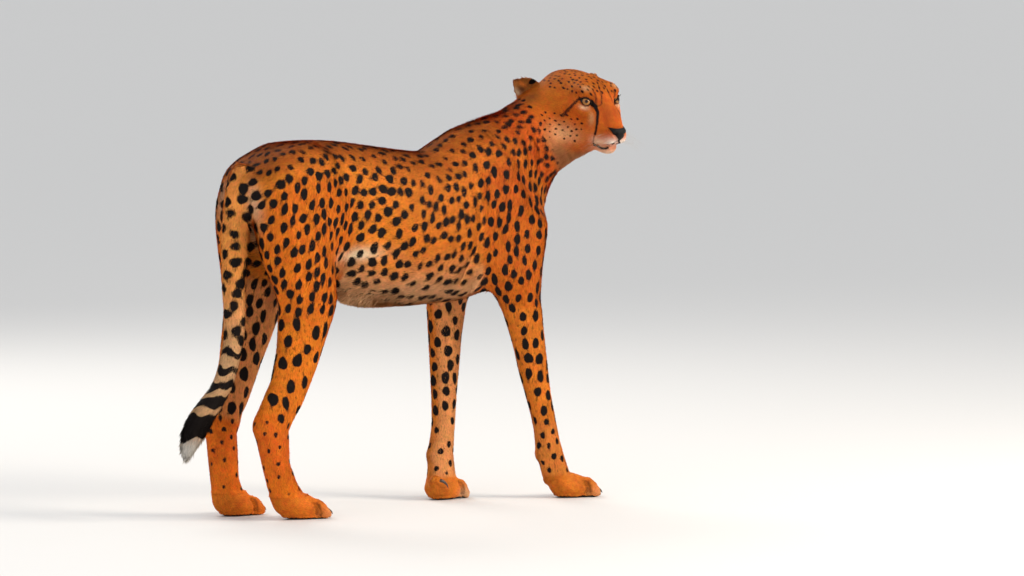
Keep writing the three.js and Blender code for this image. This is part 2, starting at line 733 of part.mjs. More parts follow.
// ---- the ears: cupped shells laid back, open to the side ----
function earSolid(side, grow = 0) {
  const root = new THREE.Vector3(...earRoot).multiply(new THREE.Vector3(1, side, 1));
  const along = new THREE.Vector3(...earPoints).multiply(new THREE.Vector3(1, side, 1)).normalize();
  const opening = new THREE.Vector3(...earOpens).multiply(new THREE.Vector3(1, side, 1));
  opening.addScaledVector(along, -opening.dot(along)).normalize();
  const across = new THREE.Vector3().crossVectors(along, opening);
  const columns = 6;
  const rows = 6;
  const points = [];
  eachCell([columns + 1, rows + 1, 2], ([i, j, outside]) => {
    const u = (2 * i) / columns - 1;
    const rise = -earRootDepth - grow + (j / rows) * (earLength + earRootDepth + 2 * grow);
    const reached = THREE.MathUtils.clamp(rise / earLength, 0, 1);
    const narrowed = earTaper * THREE.MathUtils.clamp((earWaist - rise) / (earWaist + earRootDepth), 0, 1);
    const half = (earWidth / 2) * (1 - 0.9 * reached ** 2.4) * (1 - narrowed);
    const sideways = u * (half + grow);
    const cup = earCup * (1 - 0.85 * reached) * (1 - (sideways / half) ** 2);
    const back = cup + (outside ? earThickness + grow : -grow);
    points.push(
      root.clone()
        .addScaledVector(along, rise)
        .addScaledVector(across, sideways)
        .addScaledVector(opening, -back)
        .toArray(),
    );
  });
  const width = columns + 1;
  const inner = (i, j) => j * width + i;
  const outer = (i, j) => (rows + 1) * width + j * width + i;
  const faces = [];
  const square = (a, b, c, d) => faces.push([a, c, b], [a, d, c]);
  eachCell([columns, rows, 1], ([i, j]) => {
    square(inner(i, j), inner(i, j + 1), inner(i + 1, j + 1), inner(i + 1, j));
    square(outer(i, j), outer(i + 1, j), outer(i + 1, j + 1), outer(i, j + 1));
  });
  for (let i = 0; i < columns; i++) {
    square(inner(i, 0), inner(i + 1, 0), outer(i + 1, 0), outer(i, 0));
    square(inner(i + 1, rows), inner(i, rows), outer(i, rows), outer(i + 1, rows));
  }
  for (let j = 0; j < rows; j++) {
    square(inner(0, j + 1), inner(0, j), outer(0, j), outer(0, j + 1));
    square(inner(columns, j), inner(columns, j + 1), outer(columns, j + 1), outer(columns, j));
  }
  return solidFrom({ points, faces });
}

function eyeSolid(side, grow = 0) {
  const ball = new THREE.SphereGeometry(eyeRadius + grow, 12, 8);
  return solidOf(ball, new THREE.Matrix4().makeTranslation(eyeForward, (side * eyeSpacing) / 2, 0));
}

// ---- the claws, in the frame of a foot ----
function clawRows(across, reach, height) {
  return [
    { at: [reach - 5, across, height + 6], radius: clawRadius },
    { at: [reach + 2, across, height + 4], radius: clawRadius * 0.9 },
    { at: [reach - 5 + clawLength, across, height - 5], radius: 0.5 },
  ];
}

// A forefoot's fifth claw hangs on its inner side, above the ground.
function dewclawRows(side) {
  return [
    { at: [-42, side * 22, 42], radius: clawRadius },
    { at: [-34, side * 29, 35], radius: clawRadius * 0.9 },
    { at: [-26, side * 31, 24], radius: 0.5 },
  ];
}

function clawSolids(name, grow = 0) {
  const { foot, y } = legs[name];
  const turn = new THREE.Matrix4()
    .makeRotationZ(THREE.MathUtils.degToRad(foot.turn))
    .setPosition(foot.x, y, 0);
  const rows = toePlaces(foot.hind ? hindToeReach : foreToeReach).map(([across, reach]) =>
    clawRows(across, reach, clawHeight),
  );
  if (!foot.hind) rows.push(dewclawRows(-Math.sign(y)));
  return rows.map((claw) => tubeOf(claw, 5, 2, grow).transform(turn.elements));
}

// ---- the tree of pieces ----
const cheetah = new THREE.Group();
const body = new THREE.Group();
const head = new THREE.Group();
cheetah.add(body);
body.add(head);
head.applyMatrix4(headFrame);

function addPiece(group, name, solid, look) {
  const mesh = new THREE.Mesh(geometryOf(solid), new THREE.MeshStandardMaterial(look));
  mesh.name = name;
  group.add(mesh);
}

// What the pieces leave free for one another.
const wholeTail = tubeOf(tailRows, tailSides, tailRings);
const tailRoom = tubeOf(tailRows, tailSides, tailRings, gap);
const headRegion = regionOf([headCut]);
const headRoom = regionOf([headCut], gap).transform(headFrame.elements);
const neckRegion = regionOf([neckCut]);
const neckRoom = regionOf([neckCut], gap);

function addTail() {
  const [upper, lower] = tailCuts;
  const lengths = [
    [cut([0, 0, upper + gap], [0, 0, 1])],
    [cut([0, 0, upper], [0, 0, -1]), cut([0, 0, lower + gap], [0, 0, 1])],
    [cut([0, 0, lower], [0, 0, -1])],
  ];
  lengths.forEach((cuts, i) => {
    addPiece(body, "tail_" + (i + 1), wholeTail.intersect(regionOf(cuts)), coat.tail);
  });
}

// The cuts of one leg, from the floor up. The uppermost piece ends at a slanted cut along the trunk.
function legCuts(name) {
  const { foot, y } = legs[name];
  const side = Math.sign(y);
  const [low, mid, high] = foot.hind ? hindCuts : foreCuts;
  const midFacing = foot.hind ? [0.36, 0, 0.93] : [0, 0, 1];
  const midAt = [legs[name].lineX[foot.hind ? 8 : 4], 0, mid];
  const back = midFacing.map((v) => -v);
  const trunkCut = foot.hind
    ? [
        cut([0, side * 20, 470], [0, side, -0.37]),
        cut([132, 0, 560], [-1, 0, 0.05]),
        cut([0, 0, 0], [0, side, 0]),
      ]
    : [
        cut([0, side * 27, 400], [0, side, -0.21]),
        cut([legs[name].lineX[0] - 74, 0, 400], [1, 0, 0.1]),
      ];
  return {
    trunk: trunkCut,
    pieces: [
      ["paw", [cut([0, 0, low], [0, 0, -1]), cut([0, 0, 0], [0, 0, 1])]],
      [foot.hind ? "hock" : "wrist", [cut([0, 0, low + gap], [0, 0, 1]), cut(midAt, back)]],
      [foot.hind ? "shank" : "forearm", [
        cut(midAt.map((v, axis) => v + gap * midFacing[axis]), midFacing),
        cut([0, 0, high], [0, 0, -1]),
      ]],
      [foot.hind ? "thigh" : "shoulder", [cut([0, 0, high + gap], [0, 0, 1]), ...trunkCut]],
    ],
  };
}

function addLeg(name) {
  const { pieces } = legCuts(name);
  for (const [part, cuts] of pieces) {
    const upper = part === "thigh" || part === "shoulder";
    const field = upper ? bodyField : legFields[name];
    let solid = fleshPiece(field, regionOf(cuts), bodyExtent, meshing[part]);
    if (part === "thigh") solid = solid.subtract(tailRoom);
    if (part === "shoulder") solid = solid.subtract(neckRoom);
    if (part === "paw") for (const claw of clawSolids(name, gap)) solid = solid.subtract(claw);
    addPiece(body, part + "_" + name, largestOf(solid), coat.tawny);
  }
  clawSolids(name).forEach((claw, i) => {
    addPiece(body, "claw_" + name + "_" + (i + 1), claw, coat.claw);
  });
}

function addTrunk() {
  const above = regionOf([cut([0, 0, foreCuts[2] + gap], [0, 0, 1])]);
  let solid = fleshPiece(bodyField, above, bodyExtent, meshing.trunk);
  solid = solid.subtract(tailRoom).subtract(neckRoom);
  for (const name of Object.keys(legs)) {
    solid = solid.subtract(regionOf(legCuts(name).trunk, gap));
  }
  addPiece(body, "trunk", largestOf(solid), coat.tawny);
}

function addNeck() {
  let solid = fleshPiece(bodyField, neckRegion, neckExtent, meshing.neck).subtract(headRoom);
  for (const side of [1, -1]) {
    solid = solid.subtract(earSolid(side, 3 * gap).transform(headFrame.elements));
  }
  addPiece(body, "neck", largestOf(solid), coat.tawny);
}

function addHead() {
  let solid = fleshPiece(bodyInHead, headRegion, headExtent, meshing.head);
  for (const [side, name] of [[1, "left"], [-1, "right"]]) {
    solid = solid.subtract(eyeSolid(side, gap)).subtract(earSolid(side, 3 * gap));
    addPiece(head, "eye_" + name, eyeSolid(side), coat.eye);
    addPiece(head, "ear_" + name, earSolid(side), coat.tawny);
  }
  solid = solid.subtract(regionOf(noseCuts, gap)).subtract(regionOf(jawCuts, gap));
  addPiece(head, "head", largestOf(solid), coat.tawny);
  const nose = fleshPiece(bodyInHead, regionOf(noseCuts), headExtent, meshing.nose);
  addPiece(head, "nose", largestOf(nose), coat.leather);
  const jaw = fleshPiece(bodyInHead, regionOf(jawCuts), headExtent, meshing.jaw);
  addPiece(head, "jaw", largestOf(jaw), coat.pale);
}

Object.keys(legs).forEach(addLeg);
addTrunk();
addNeck();
addHead();
addTail();

// The origin goes to the middle of the underside of the whole.
const box = new THREE.Box3().setFromObject(cheetah, true);
body.position.set(-(box.min.x + box.max.x) / 2, -(box.min.y + box.max.y) / 2, -box.min.z);

export default cheetah;
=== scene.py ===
import math

import bmesh
import bpy
import numpy as np
from mathutils import Matrix, Vector
from mathutils.bvhtree import BVHTree


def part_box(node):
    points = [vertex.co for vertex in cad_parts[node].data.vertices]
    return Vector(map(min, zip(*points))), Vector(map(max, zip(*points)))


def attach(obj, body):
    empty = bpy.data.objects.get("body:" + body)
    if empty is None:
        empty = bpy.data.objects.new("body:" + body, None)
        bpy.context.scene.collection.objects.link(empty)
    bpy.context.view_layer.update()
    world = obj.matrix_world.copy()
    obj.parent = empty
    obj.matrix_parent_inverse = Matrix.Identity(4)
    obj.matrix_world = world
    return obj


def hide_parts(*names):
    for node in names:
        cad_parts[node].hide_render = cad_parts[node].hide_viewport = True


rng = np.random.default_rng(41)
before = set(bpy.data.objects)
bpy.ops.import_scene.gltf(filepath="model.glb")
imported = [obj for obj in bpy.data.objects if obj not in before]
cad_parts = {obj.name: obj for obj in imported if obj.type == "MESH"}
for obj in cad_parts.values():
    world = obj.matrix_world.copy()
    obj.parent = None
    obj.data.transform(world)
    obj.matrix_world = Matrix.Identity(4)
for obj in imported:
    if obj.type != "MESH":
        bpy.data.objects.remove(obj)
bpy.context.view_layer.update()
mm = 0.001
print("frame loaded,", len(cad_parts), "solids")


# where things are: the body is measured from the floor under the hips, the head from between the eyes
hipsPlace = Vector((-0.3036, 0.02785, 0))
headCarriage = {"yaw": -89, "pitch": 18.7, "roll": 2, "eyeForward": 7}


def headPlace():
    yaw, pitch, roll = (math.radians(headCarriage[k]) for k in ("yaw", "pitch", "roll"))
    turn = Matrix.Rotation(yaw, 4, "Z") @ Matrix.Rotation(pitch, 4, "Y") @ Matrix.Rotation(roll, 4, "X")
    left, right = (sum(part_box(name), Vector()) / 2 for name in ("eye_left", "eye_right"))
    middle = (left + right) / 2 - turn @ Vector((headCarriage["eyeForward"] * mm, 0, 0))
    return Matrix.Translation(middle) @ turn @ Matrix.Scale(mm, 4)


headFrame = headPlace()                                     # head millimetres to the row frame
headInverse = np.array(headFrame.inverted())


def toHead(points):
    return points @ headInverse[:3, :3].T + headInverse[:3, 3]


def fromHead(points):
    place = np.array(headFrame)
    return np.asarray(points, float) @ place[:3, :3].T + place[:3, 3]


def toBody(points):
    return (points - np.array(hipsPlace)) / mm


def turned(vectors):
    return vectors @ np.array(headFrame.to_3x3()).T / mm


def onSide(points, side):
    return np.array(points) * (1, side, 1)


def folded(points):
    return abs(points) * (0, 1, 0) + points * (1, 0, 1)


def ramp(x, low, high):
    t = np.clip((x - low) / (high - low), 0, 1)
    return t * t * (3 - 2 * t)


def unit(vectors):
    return vectors / np.maximum(np.linalg.norm(vectors, axis=-1, keepdims=True), 1e-9)


def nearness(points, middle, radii):
    return np.exp(-(((points - middle) / radii) ** 2).sum(1))


def toned(colour, tint, share):
    return colour + (np.array(tint) - colour) * share[:, None]


def varied(plan, count):
    least, more = plan
    return least + more * rng.random(count)


def placesOf(mesh):
    flat = np.empty(len(mesh.vertices) * 3)
    mesh.vertices.foreach_get("co", flat)
    return flat.reshape(-1, 3)


def normalsOf(mesh):
    flat = np.empty(len(mesh.vertices) * 3)
    mesh.vertices.foreach_get("normal", flat)
    return flat.reshape(-1, 3)


def setPlaces(mesh, places):
    mesh.vertices.foreach_set("co", places.astype(np.float32).ravel())
    mesh.update()


# the rings of a tube are joined in their order, and both its ends are closed
def joinRings(made, rings):
    for before, ring in zip(rings, rings[1:]):
        for k in range(len(ring)):
            made.faces.new((before[k - 1], before[k], ring[k], ring[k - 1]))
    made.faces.new(rings[0][::-1])
    made.faces.new(rings[-1])


def meshFrom(made, name):
    mesh = bpy.data.meshes.new(name)
    made.to_mesh(mesh)
    made.free()
    return mesh


def newPiece(name, mesh):
    piece = bpy.data.objects.new(name, mesh)
    bpy.context.scene.collection.objects.link(piece)
    return piece


def applyModifiers(piece):
    bpy.context.view_layer.update()
    done = bpy.data.meshes.new_from_object(piece.evaluated_get(bpy.context.evaluated_depsgraph_get()))
    piece.modifiers.clear()
    old = piece.data
    piece.data = done
    bpy.data.meshes.remove(old)


# camera, floor and lights
cameraPlan = {"fromHips": (-7.333, -9.447, 1.181), "azimuth": -40, "elevation": 3.5, "lens": 214.1}
stagePlan = {
    "floor": (0.80, 0.785, 0.76), "sky": (0.90, 0.92, 0.95), "skyStrength": 0.80,
    # each light: where it stands, its size, its power in watts and its colour
    "key": ((2.2, -3.4, 2.3), 2.2, 170, (1.0, 0.90, 0.78)),
    "fill": ((-4.2, -1.6, 2.2), 3.4, 40, (0.90, 0.95, 1.0)),
    "back": ((0.6, 3.8, 3.2), 2.6, 70, (1.0, 0.96, 0.90)),
}


def makeCamera():
    azimuth, elevation = (math.radians(cameraPlan[k]) for k in ("azimuth", "elevation"))
    level = math.cos(elevation)
    back = Vector((math.sin(azimuth) * level, -math.cos(azimuth) * level, math.sin(elevation)))
    lens = bpy.data.cameras.new("camera")
    lens.lens = cameraPlan["lens"]
    lens.clip_end = 1000
    camera = bpy.data.objects.new("camera", lens)
    camera.location = hipsPlace + Vector(cameraPlan["fromHips"])
    camera.rotation_euler = (-back).to_track_quat("-Z", "Y").to_euler()
    bpy.context.scene.collection.objects.link(camera)
    bpy.context.scene.camera = camera


def makeLight(name, place, size, power, colour):
    lamp = bpy.data.lights.new(name, "AREA")
    lamp.shape = "DISK"
    lamp.size = size
    lamp.energy = power
    lamp.color = colour
    light = bpy.data.objects.new(name, lamp)
    light.location = place
    light.rotation_euler = (Vector((0, 0, 0.45)) - Vector(place)).to_track_quat("-Z", "Y").to_euler()
    bpy.context.scene.collection.objects.link(light)


def makeStage():
    made = bmesh.new()
    bmesh.ops.create_grid(made, x_segments=1, y_segments=1, size=400)
    mesh = meshFrom(made, "floor")
    floor = newPiece("floor", mesh)
    paint = bpy.data.materials.new("floor paint")
    paint.use_nodes = True
    shader = paint.node_tree.nodes["Principled BSDF"]
    shader.inputs["Base Color"].default_value = (*stagePlan["floor"], 1)
    shader.inputs["Roughness"].default_value = 0.8
    mesh.materials.append(paint)
    for name in ("key", "fill", "back"):
        makeLight(name, *stagePlan[name])
    world = bpy.data.worlds.new("studio")
    world.use_nodes = True
    sky = world.node_tree.nodes["Background"]
    sky.inputs["Color"].default_value = (*stagePlan["sky"], 1)
    sky.inputs["Strength"].default_value = stagePlan["skyStrength"]
    bpy.context.scene.world = world
    bpy.context.scene.view_settings.view_transform = "Standard"


makeCamera()
makeStage()
print("camera and stage set")


# the skin: one closed surface through all the flesh
skinPlan = {
    "fatten": 0.7, "grain": 2.2,                            # closes the gaps, then the remesh's cell, in mm
    "rounds": 400, "triangles": 192000,                     # smoothing steps, and what is kept at the end
}
# the kinds of body part that share one way of coat, and how much of the smoothing each takes
kinds = {
    "trunk": 1.0, "neck": 0.7, "head": 0.05, "ear": 0.02, "tail": 0.14, "thigh": 0.9, "shank": 0.22,
    "hock": 0.10, "paw_hind": 0.03, "shoulder": 0.9, "forearm": 0.18, "wrist": 0.10, "paw_fore": 0.03,
}
kindNames = list(kinds)
fleshNodes = sorted(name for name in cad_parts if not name.startswith("claw"))


def kindOf(name):
    if name.startswith(("jaw", "nose", "eye")):
        return kindNames.index("head")
    return next(i for i, kind in enumerate(kindNames) if name.startswith(kind))


def fleshMesh():
    joined = bmesh.new()
    for name in fleshNodes:
        part = bmesh.new()
        part.from_mesh(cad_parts[name].data)
        bmesh.ops.remove_doubles(part, verts=part.verts, dist=0.01 * mm)
        part.normal_update()
        fatten = 0.05 if name.startswith("eye") else skinPlan["fatten"]
        for vert in part.verts:
            vert.co += vert.normal * fatten * mm
        grown = meshFrom(part, name + " grown")
        joined.from_mesh(grown)
        bpy.data.meshes.remove(grown)
    return meshFrom(joined, "skin")


def solidsTree():
    points, faces, kindsOfFaces = [], [], []
    for name in fleshNodes:
        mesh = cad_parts[name].data
        base = len(points)
        points += [tuple(v.co) for v in mesh.vertices]
        faces += [[base + i for i in face.vertices] for face in mesh.polygons]
        kindsOfFaces += [kindOf(name)] * len(mesh.polygons)
    return BVHTree.FromPolygons(points, faces), np.array(kindsOfFaces)


solids, kindOfFace = solidsTree()


def kindsAt(places):
    return kindOfFace[[solids.find_nearest(p)[2] for p in places.tolist()]]


def setGroup(piece, name, weights, levels=50):
    group = piece.vertex_groups.new(name=name)
    steps = np.rint(weights * levels).astype(int)
    for step in range(1, levels + 1):
        group.add(np.flatnonzero(steps == step).tolist(), step / levels, "REPLACE")


def neighboursOf(mesh):
    flat = np.empty(len(mesh.edges) * 2, np.int32)
    mesh.edges.foreach_get("vertices", flat)
    pairs = flat.reshape(-1, 2)
    ends = np.concatenate([pairs[:, 0], pairs[:, 1]])
    others = np.concatenate([pairs[:, 1], pairs[:, 0]])
    return ends, others


def softened(values, neighbours, rounds, share=0.6):
    ends, others = neighbours
    count = len(values)
    around = np.maximum(np.bincount(ends, minlength=count), 1)
    soft = values.astype(float).copy()
    for _ in range(rounds):
        for column in range(soft.shape[1]):
            mean = np.bincount(ends, weights=soft[others, column], minlength=count) / around
            soft[:, column] += share * (mean - soft[:, column])
    return soft


def smoothPass(piece, places):
    setPlaces(piece.data, places)
    smooth = piece.modifiers.new("smooth", "SMOOTH")
    smooth.factor = 0.5
    smooth.iterations = skinPlan["rounds"]
    smooth.vertex_group = "ease"
    bpy.context.view_layer.update()
    eased = placesOf(piece.evaluated_get(bpy.context.evaluated_depsgraph_get()).data)
    piece.modifiers.clear()
    return eased


def makeSkin():
    skin = newPiece("skin", fleshMesh())
    remesh = skin.modifiers.new("remesh", "REMESH")
    remesh.mode = "VOXEL"
    remesh.voxel_size = skinPlan["grain"] * mm
    applyModifiers(skin)
    places = placesOf(skin.data)
    ease = np.array(list(kinds.values()))[kindsAt(places)][:, None]
    ease = softened(ease, neighboursOf(skin.data), 24)[:, 0]
    setGroup(skin, "ease", ease)
    # what one pass of smoothing takes off is smoothed too and put back, so thin parts keep their girth
    once = smoothPass(skin, places)
    setPlaces(skin.data, once + smoothPass(skin, places - once))
    skin.vertex_groups.clear()
    return skin


faceMiddle = (28, 0, -30)                                   # in head mm; the grain stays fine round it


# each edge of the skin in the face is cut in two
def refineFace(skin):
    made = bmesh.new()
    made.from_mesh(skin.data)
    places = toHead(placesOf(skin.data))
    inFace = (places[:, 0] > -24) & (abs(places[:, 1]) < 64) & (abs(places[:, 2] + 34) < 74)
    inFace &= np.linalg.norm(places - faceMiddle, axis=1) < 84
    made.verts.ensure_lookup_table()
    edges = [edge for edge in made.edges if inFace[edge.verts[0].index] and inFace[edge.verts[1].index]]
    bmesh.ops.subdivide_edges(made, edges=edges, cuts=1, use_grid_fill=True)
    made.to_mesh(skin.data)
    made.free()


skin = makeSkin()
refineFace(skin)
print("skin made,", len(skin.data.polygons), "faces")


# the legs' middle lines: heights in mm, and where each leg is along the body at them
legHeights = {
    "hind": [655, 590, 510, 430, 360, 305, 245, 212, 182, 148, 110, 72, 40],
    "fore": [450, 391, 313, 256, 204, 147, 100, 58],
}
legLines = {
    "hind_right": [0, -4, 0, 12, 1, -14, -38, -60, -72, -69, -63, -50, -34],
    "hind_left": [-8, -14, -18, -19, -33, -50, -70, -87, -95, -96, -93, -88, -80],
    "fore_right": [546, 562, 584, 596, 611, 627, 637, 652],
    "fore_left": [484, 478, 474, 472, 469, 468, 462, 462],
}
legSpread = 66
# each foot: its place along the body and the way it points, in degrees
footPlaces = {
    "hind_right": (-4, -4), "hind_left": (-62, 10), "fore_right": (690, -8), "fore_left": (464, 20),
}


def legX(leg, z):
    heights = legHeights[leg[:4]]
    return float(np.interp(z, heights[::-1], legLines[leg][::-1]))


def footFrame(leg):
    x, turn = footPlaces[leg]
    side = 1 if leg.endswith("left") else -1
    place = Matrix.Translation(Vector((x, side * legSpread, 0)) * mm + hipsPlace)
    return place @ Matrix.Rotation(math.radians(turn), 4, "Z") @ Matrix.Scale(mm, 4)


def trianglesOf(mesh):
    mesh.calc_loop_triangles()
    flat = np.empty(len(mesh.loop_triangles) * 3, np.int32)
    mesh.loop_triangles.foreach_get("vertices", flat)
    return flat.reshape(-1, 3)


def treeOf(mesh):
    return BVHTree.FromPolygons(placesOf(mesh).tolist(), trianglesOf(mesh).tolist(), all_triangles=True)


def dotsAlong(route, step):
    points = np.asarray(route, float)
    spans = np.linalg.norm(np.diff(points, axis=0), axis=1)
    reach = np.concatenate([[0], np.cumsum(spans)])
    stops = np.linspace(0, reach[-1], max(int(reach[-1] / step) + 1, 1))
    return np.stack([np.interp(stops, reach, points[:, axis]) for axis in range(3)], axis=1)


# the skin's nearest place to each dot, or the first that a cast from outside meets
def dotsOnSkin(dots, tree, cast=None):
    found = []
    for dot in dots.tolist():
        hit = None
        if cast:
            hit = tree.ray_cast(Vector(dot) - Vector(cast) * 0.4, Vector(cast))[0]
        if hit is None:
            hit = tree.find_nearest(dot)[0]
        found.append(tuple(hit))
    return np.array(found)


# how many points are measured at once, which keeps the tables small
batch = 20000


def distanceTo(points, dots, span=0.045):
    near = np.full(len(points), 1e3)
    inside = ((points > dots.min(0) - span) & (points < dots.max(0) + span)).all(1)
    close = np.flatnonzero(inside)
    for start in range(0, len(close), batch):
        some = close[start:start + batch]
        near[some] = np.sqrt(((points[some, None, :] - dots[None]) ** 2).sum(2).min(1))
    return near


def press(mesh, strokes):
    places, normals, tree = placesOf(mesh), normalsOf(mesh), treeOf(mesh)
    push = np.zeros(len(places))
    for route, radius, amount, cast in strokes:
        dots = dotsOnSkin(dotsAlong(route, max(radius * 0.35, 0.6) * mm), tree, cast)
        push += amount * mm * np.exp(-(distanceTo(places, dots) / (radius * mm)) ** 2)
    setPlaces(mesh, places + normals * push[:, None])


# strokes that press or raise the skin, as with a clay tool, on both sides of the body: a route as x and z,
# its radius and its push, in mm
bodyStrokes = [
    # shoulder blade and its hollows, upper arm, elbow
    ([(486, 742), (516, 690), (545, 630), (566, 575)], 13, 3.2),
    ([(450, 728), (462, 690), (478, 640)], 16, -3.0),
    ([(548, 700), (578, 640), (600, 590)], 15, -2.8),
    ([(436, 640), (446, 560), (428, 500), (416, 455)], 13, -4.0),
    ([(505, 610), (478, 545), (462, 490)], 22, 3.0),
    ([(590, 570), (585, 540)], 20, 2.5),
    # ribs' end, flank hollow and the fold in front of the thigh
    ([(250, 480), (210, 540), (170, 600)], 24, -3.5),
    ([(128, 640), (124, 560), (116, 500), (98, 450)], 11, -4.5),
    ([(92, 640), (92, 560), (84, 490)], 16, 2.5),
    # hip, buttock and the long furrow down the thigh
    ([(66, 716), (40, 722)], 20, 3.0),
    ([(-58, 640), (-52, 560), (-40, 500)], 14, 2.5),
    ([(-20, 640), (-26, 560), (-22, 480), (-14, 420)], 12, -3.0),
    # the neck's long muscle, the furrow under it and the folds behind the turned head
    ([(560, 742), (610, 770), (660, 790)], 14, 2.2),
    ([(600, 655), (640, 700), (676, 738)], 12, -2.6),
]
# the legs: from which face, the place off the leg's line and the height, then radius and push
legStrokes = [
    # hollow before the heel tendon, on both faces, the instep and the shin's edge
    ("hind", "outer", [(-14, 290), (-20, 250), (-20, 215)], 8, -3.4),
    ("hind", "inner", [(-14, 290), (-20, 250), (-20, 215)], 8, -3.0),
    ("hind", "outer", [(-8, 170), (-6, 130), (-2, 90)], 6, -1.6),
    ("hind", "outer", [(14, 370), (20, 330)], 14, 2.2),
    # forearm muscle, the furrow behind the shin, the wrist's bones
    ("fore", "outer", [(6, 390), (2, 340), (2, 290)], 12, 2.2),
    ("fore", "outer", [(-12, 370), (-12, 300), (-11, 230)], 6, -2.0),
    ("fore", "outer", [(2, 170), (2, 150)], 9, 1.6),
    ("fore", "front", [(0, 160), (0, 145)], 9, 1.5),
    ("fore", "outer", [(-8, 135), (-6, 110), (-4, 85)], 6, -1.6),
]
# folds of skin between the nape and the throat on the side that the head turns to, in body mm
neckFolds = [
    ([(612, -62, 735), (622, -66, 705), (626, -66, 675)], 6, -2.2),
    ([(596, -70, 740), (604, -74, 705), (606, -76, 670)], 7, 1.6),
    ([(580, -74, 735), (586, -80, 700), (586, -82, 665)], 6, -1.6),
]
# lumps and steps that are rubbed down: a place in head or body mm, its reach and the rounds
rubbed = [
    ("head", (-30, 44, 26), 26, 110), ("head", (-30, -44, 26), 26, 110),
    ("body", (-74, 0, 684), 38, 120),
]
# the four toes: their places across the foot, how far the middle would reach and what the outer lack
toes = {"across": (-27, -9.5, 9.5, 27), "fore": 62, "hind": 58, "slope": 0.42}
# strokes on each toe: where across the foot, places from its tip and heights, then radius and push
toeGrooves = {
    "across": (-18.3, 0, 18.3), "route": [(-30, 36), (-14, 27), (-5, 17), (-1, 6)], "shape": (3.4, -5.4),
}
# the crease behind the outer toes, down the side of a paw
toeSides = {"across": (-37, 37), "route": [(-32, 36), (-25, 22), (-24, 7)], "shape": (3.6, -5.4)}
toeKnuckles = {"across": toes["across"], "route": [(-20, 30), (-10, 25)], "shape": (7.0, 2.8)}


def toeTip(leg, across):
    return toes[leg[:4]] - abs(across) * toes["slope"]


def toeRoutes(plan):
    for leg in footPlaces:
        for across in plan["across"]:
            tip = toeTip(leg, across)
            yield [footFrame(leg) @ Vector((tip + ahead, across, z)) for ahead, z in plan["route"]]


def modelBody(mesh):
    strokes = []
    for route, radius, push in bodyStrokes:
        for side in (1, -1):
            points = [Vector((x, side * 70, z)) * mm + hipsPlace for x, z in route]
            strokes.append((points, radius, push, (0, -side, 0)))
    casts = {"outer": (0, -1, 0), "inner": (0, 1, 0), "front": (-1, 0, 0)}
    for kind, face, route, radius, push in legStrokes:
        for leg in legLines:
            if not leg.startswith(kind):
                continue
            side = 1 if leg.endswith("left") else -1
            cast = Vector(casts[face]) * Vector((1, side, 1))
            points = []
            for dx, z in route:
                middle = Vector((legX(leg, z) + dx, side * legSpread, z)) * mm + hipsPlace
                points.append(middle - cast * 0.06)
            strokes.append((points, radius, push, None))
    for plan in (toeGrooves, toeSides, toeKnuckles):
        strokes += [(points, *plan["shape"], None) for points in toeRoutes(plan)]
    for route, radius, push in neckFolds:
        strokes.append(([Vector(point) * mm + hipsPlace for point in route], radius, push, None))
    press(mesh, strokes)


def rubDown(mesh):
    places = placesOf(mesh)
    neighbours = neighboursOf(mesh)
    for where, centre, reach, rounds in rubbed:
        local = toHead(places) if where == "head" else toBody(places)
        share = ramp(1 - np.linalg.norm(local - centre, axis=1) / reach, 0, 0.5)
        near = share > 0
        keep = near[neighbours[0]] & near[neighbours[1]]
        index = np.cumsum(near) - 1
        ends, others = index[neighbours[0][keep]], index[neighbours[1][keep]]
        places[near] = softened(places[near], (ends, others), rounds, 0.6 * share[near])
    setPlaces(mesh, places)


rubDown(skin.data)
modelBody(skin.data)
print("body modelled")


# the coat's areas, each with the coat's depth, a tuft's length and width in mm, its lift in degrees, how
# many grow on a square mm, then the spots' radius, their spacing and how far they are drawn out
areaColumns = ("depth", "hair", "width", "lift", "per", "spot", "gap", "stretch")
areas = {
    "back": (3.8, 10.5, 1.7, 13, 0.44, 6.8, 18, 1.45),
    "flank": (3.8, 10.5, 1.7, 12, 0.42, 9.6, 24, 1.08),
    "ribs": (3.8, 10, 1.7, 12, 0.42, 8.4, 18.5, 1.50),
    "belly": (4.6, 15, 1.9, 18, 0.42, 8.6, 23, 1.25),
    "chest": (3.8, 10.5, 1.7, 13, 0.42, 7.6, 17.5, 1.45),
    "neck": (3.6, 10, 1.6, 14, 0.47, 6.6, 15, 1.45),
    "crown": (2.0, 6.5, 1.1, 12, 0.85, 3.3, 9.5, 1.20),
    "face": (1.1, 4.2, 0.8, 10, 1.6, 2.8, 10.5, 1.15),
    "throat": (2.4, 9, 1.3, 14, 0.7, 0, 9, 1.00),
    "ear": (0.8, 6, 1.0, 14, 0.95, 0, 9, 1.00),
    "tail": (4.0, 12, 1.7, 14, 0.48, 10.4, 23.5, 1.30),
    "thigh": (3.0, 10, 1.6, 11, 0.44, 9.0, 21.5, 1.20),
    "shank": (2.2, 9.5, 1.4, 11, 0.50, 11.2, 27, 1.35),
    "hock": (1.7, 7.5, 1.3, 10, 0.60, 4.8, 25, 1.00),
    "paw_hind": (1.3, 6, 1.1, 11, 0.85, 0, 16, 1.00),
    "shoulder": (3.0, 10, 1.6, 11, 0.44, 8.8, 20.5, 1.35),
    "forearm": (2.0, 8.5, 1.3, 11, 0.55, 9.6, 24, 1.30),
    "wrist": (1.7, 7.5, 1.2, 11, 0.60, 6.2, 22, 1.10),
    "paw_fore": (1.3, 6, 1.1, 11, 0.85, 1.2, 18, 1.00),
}
areaNames = list(areas)
areaTable = np.array(list(areas.values()), float)
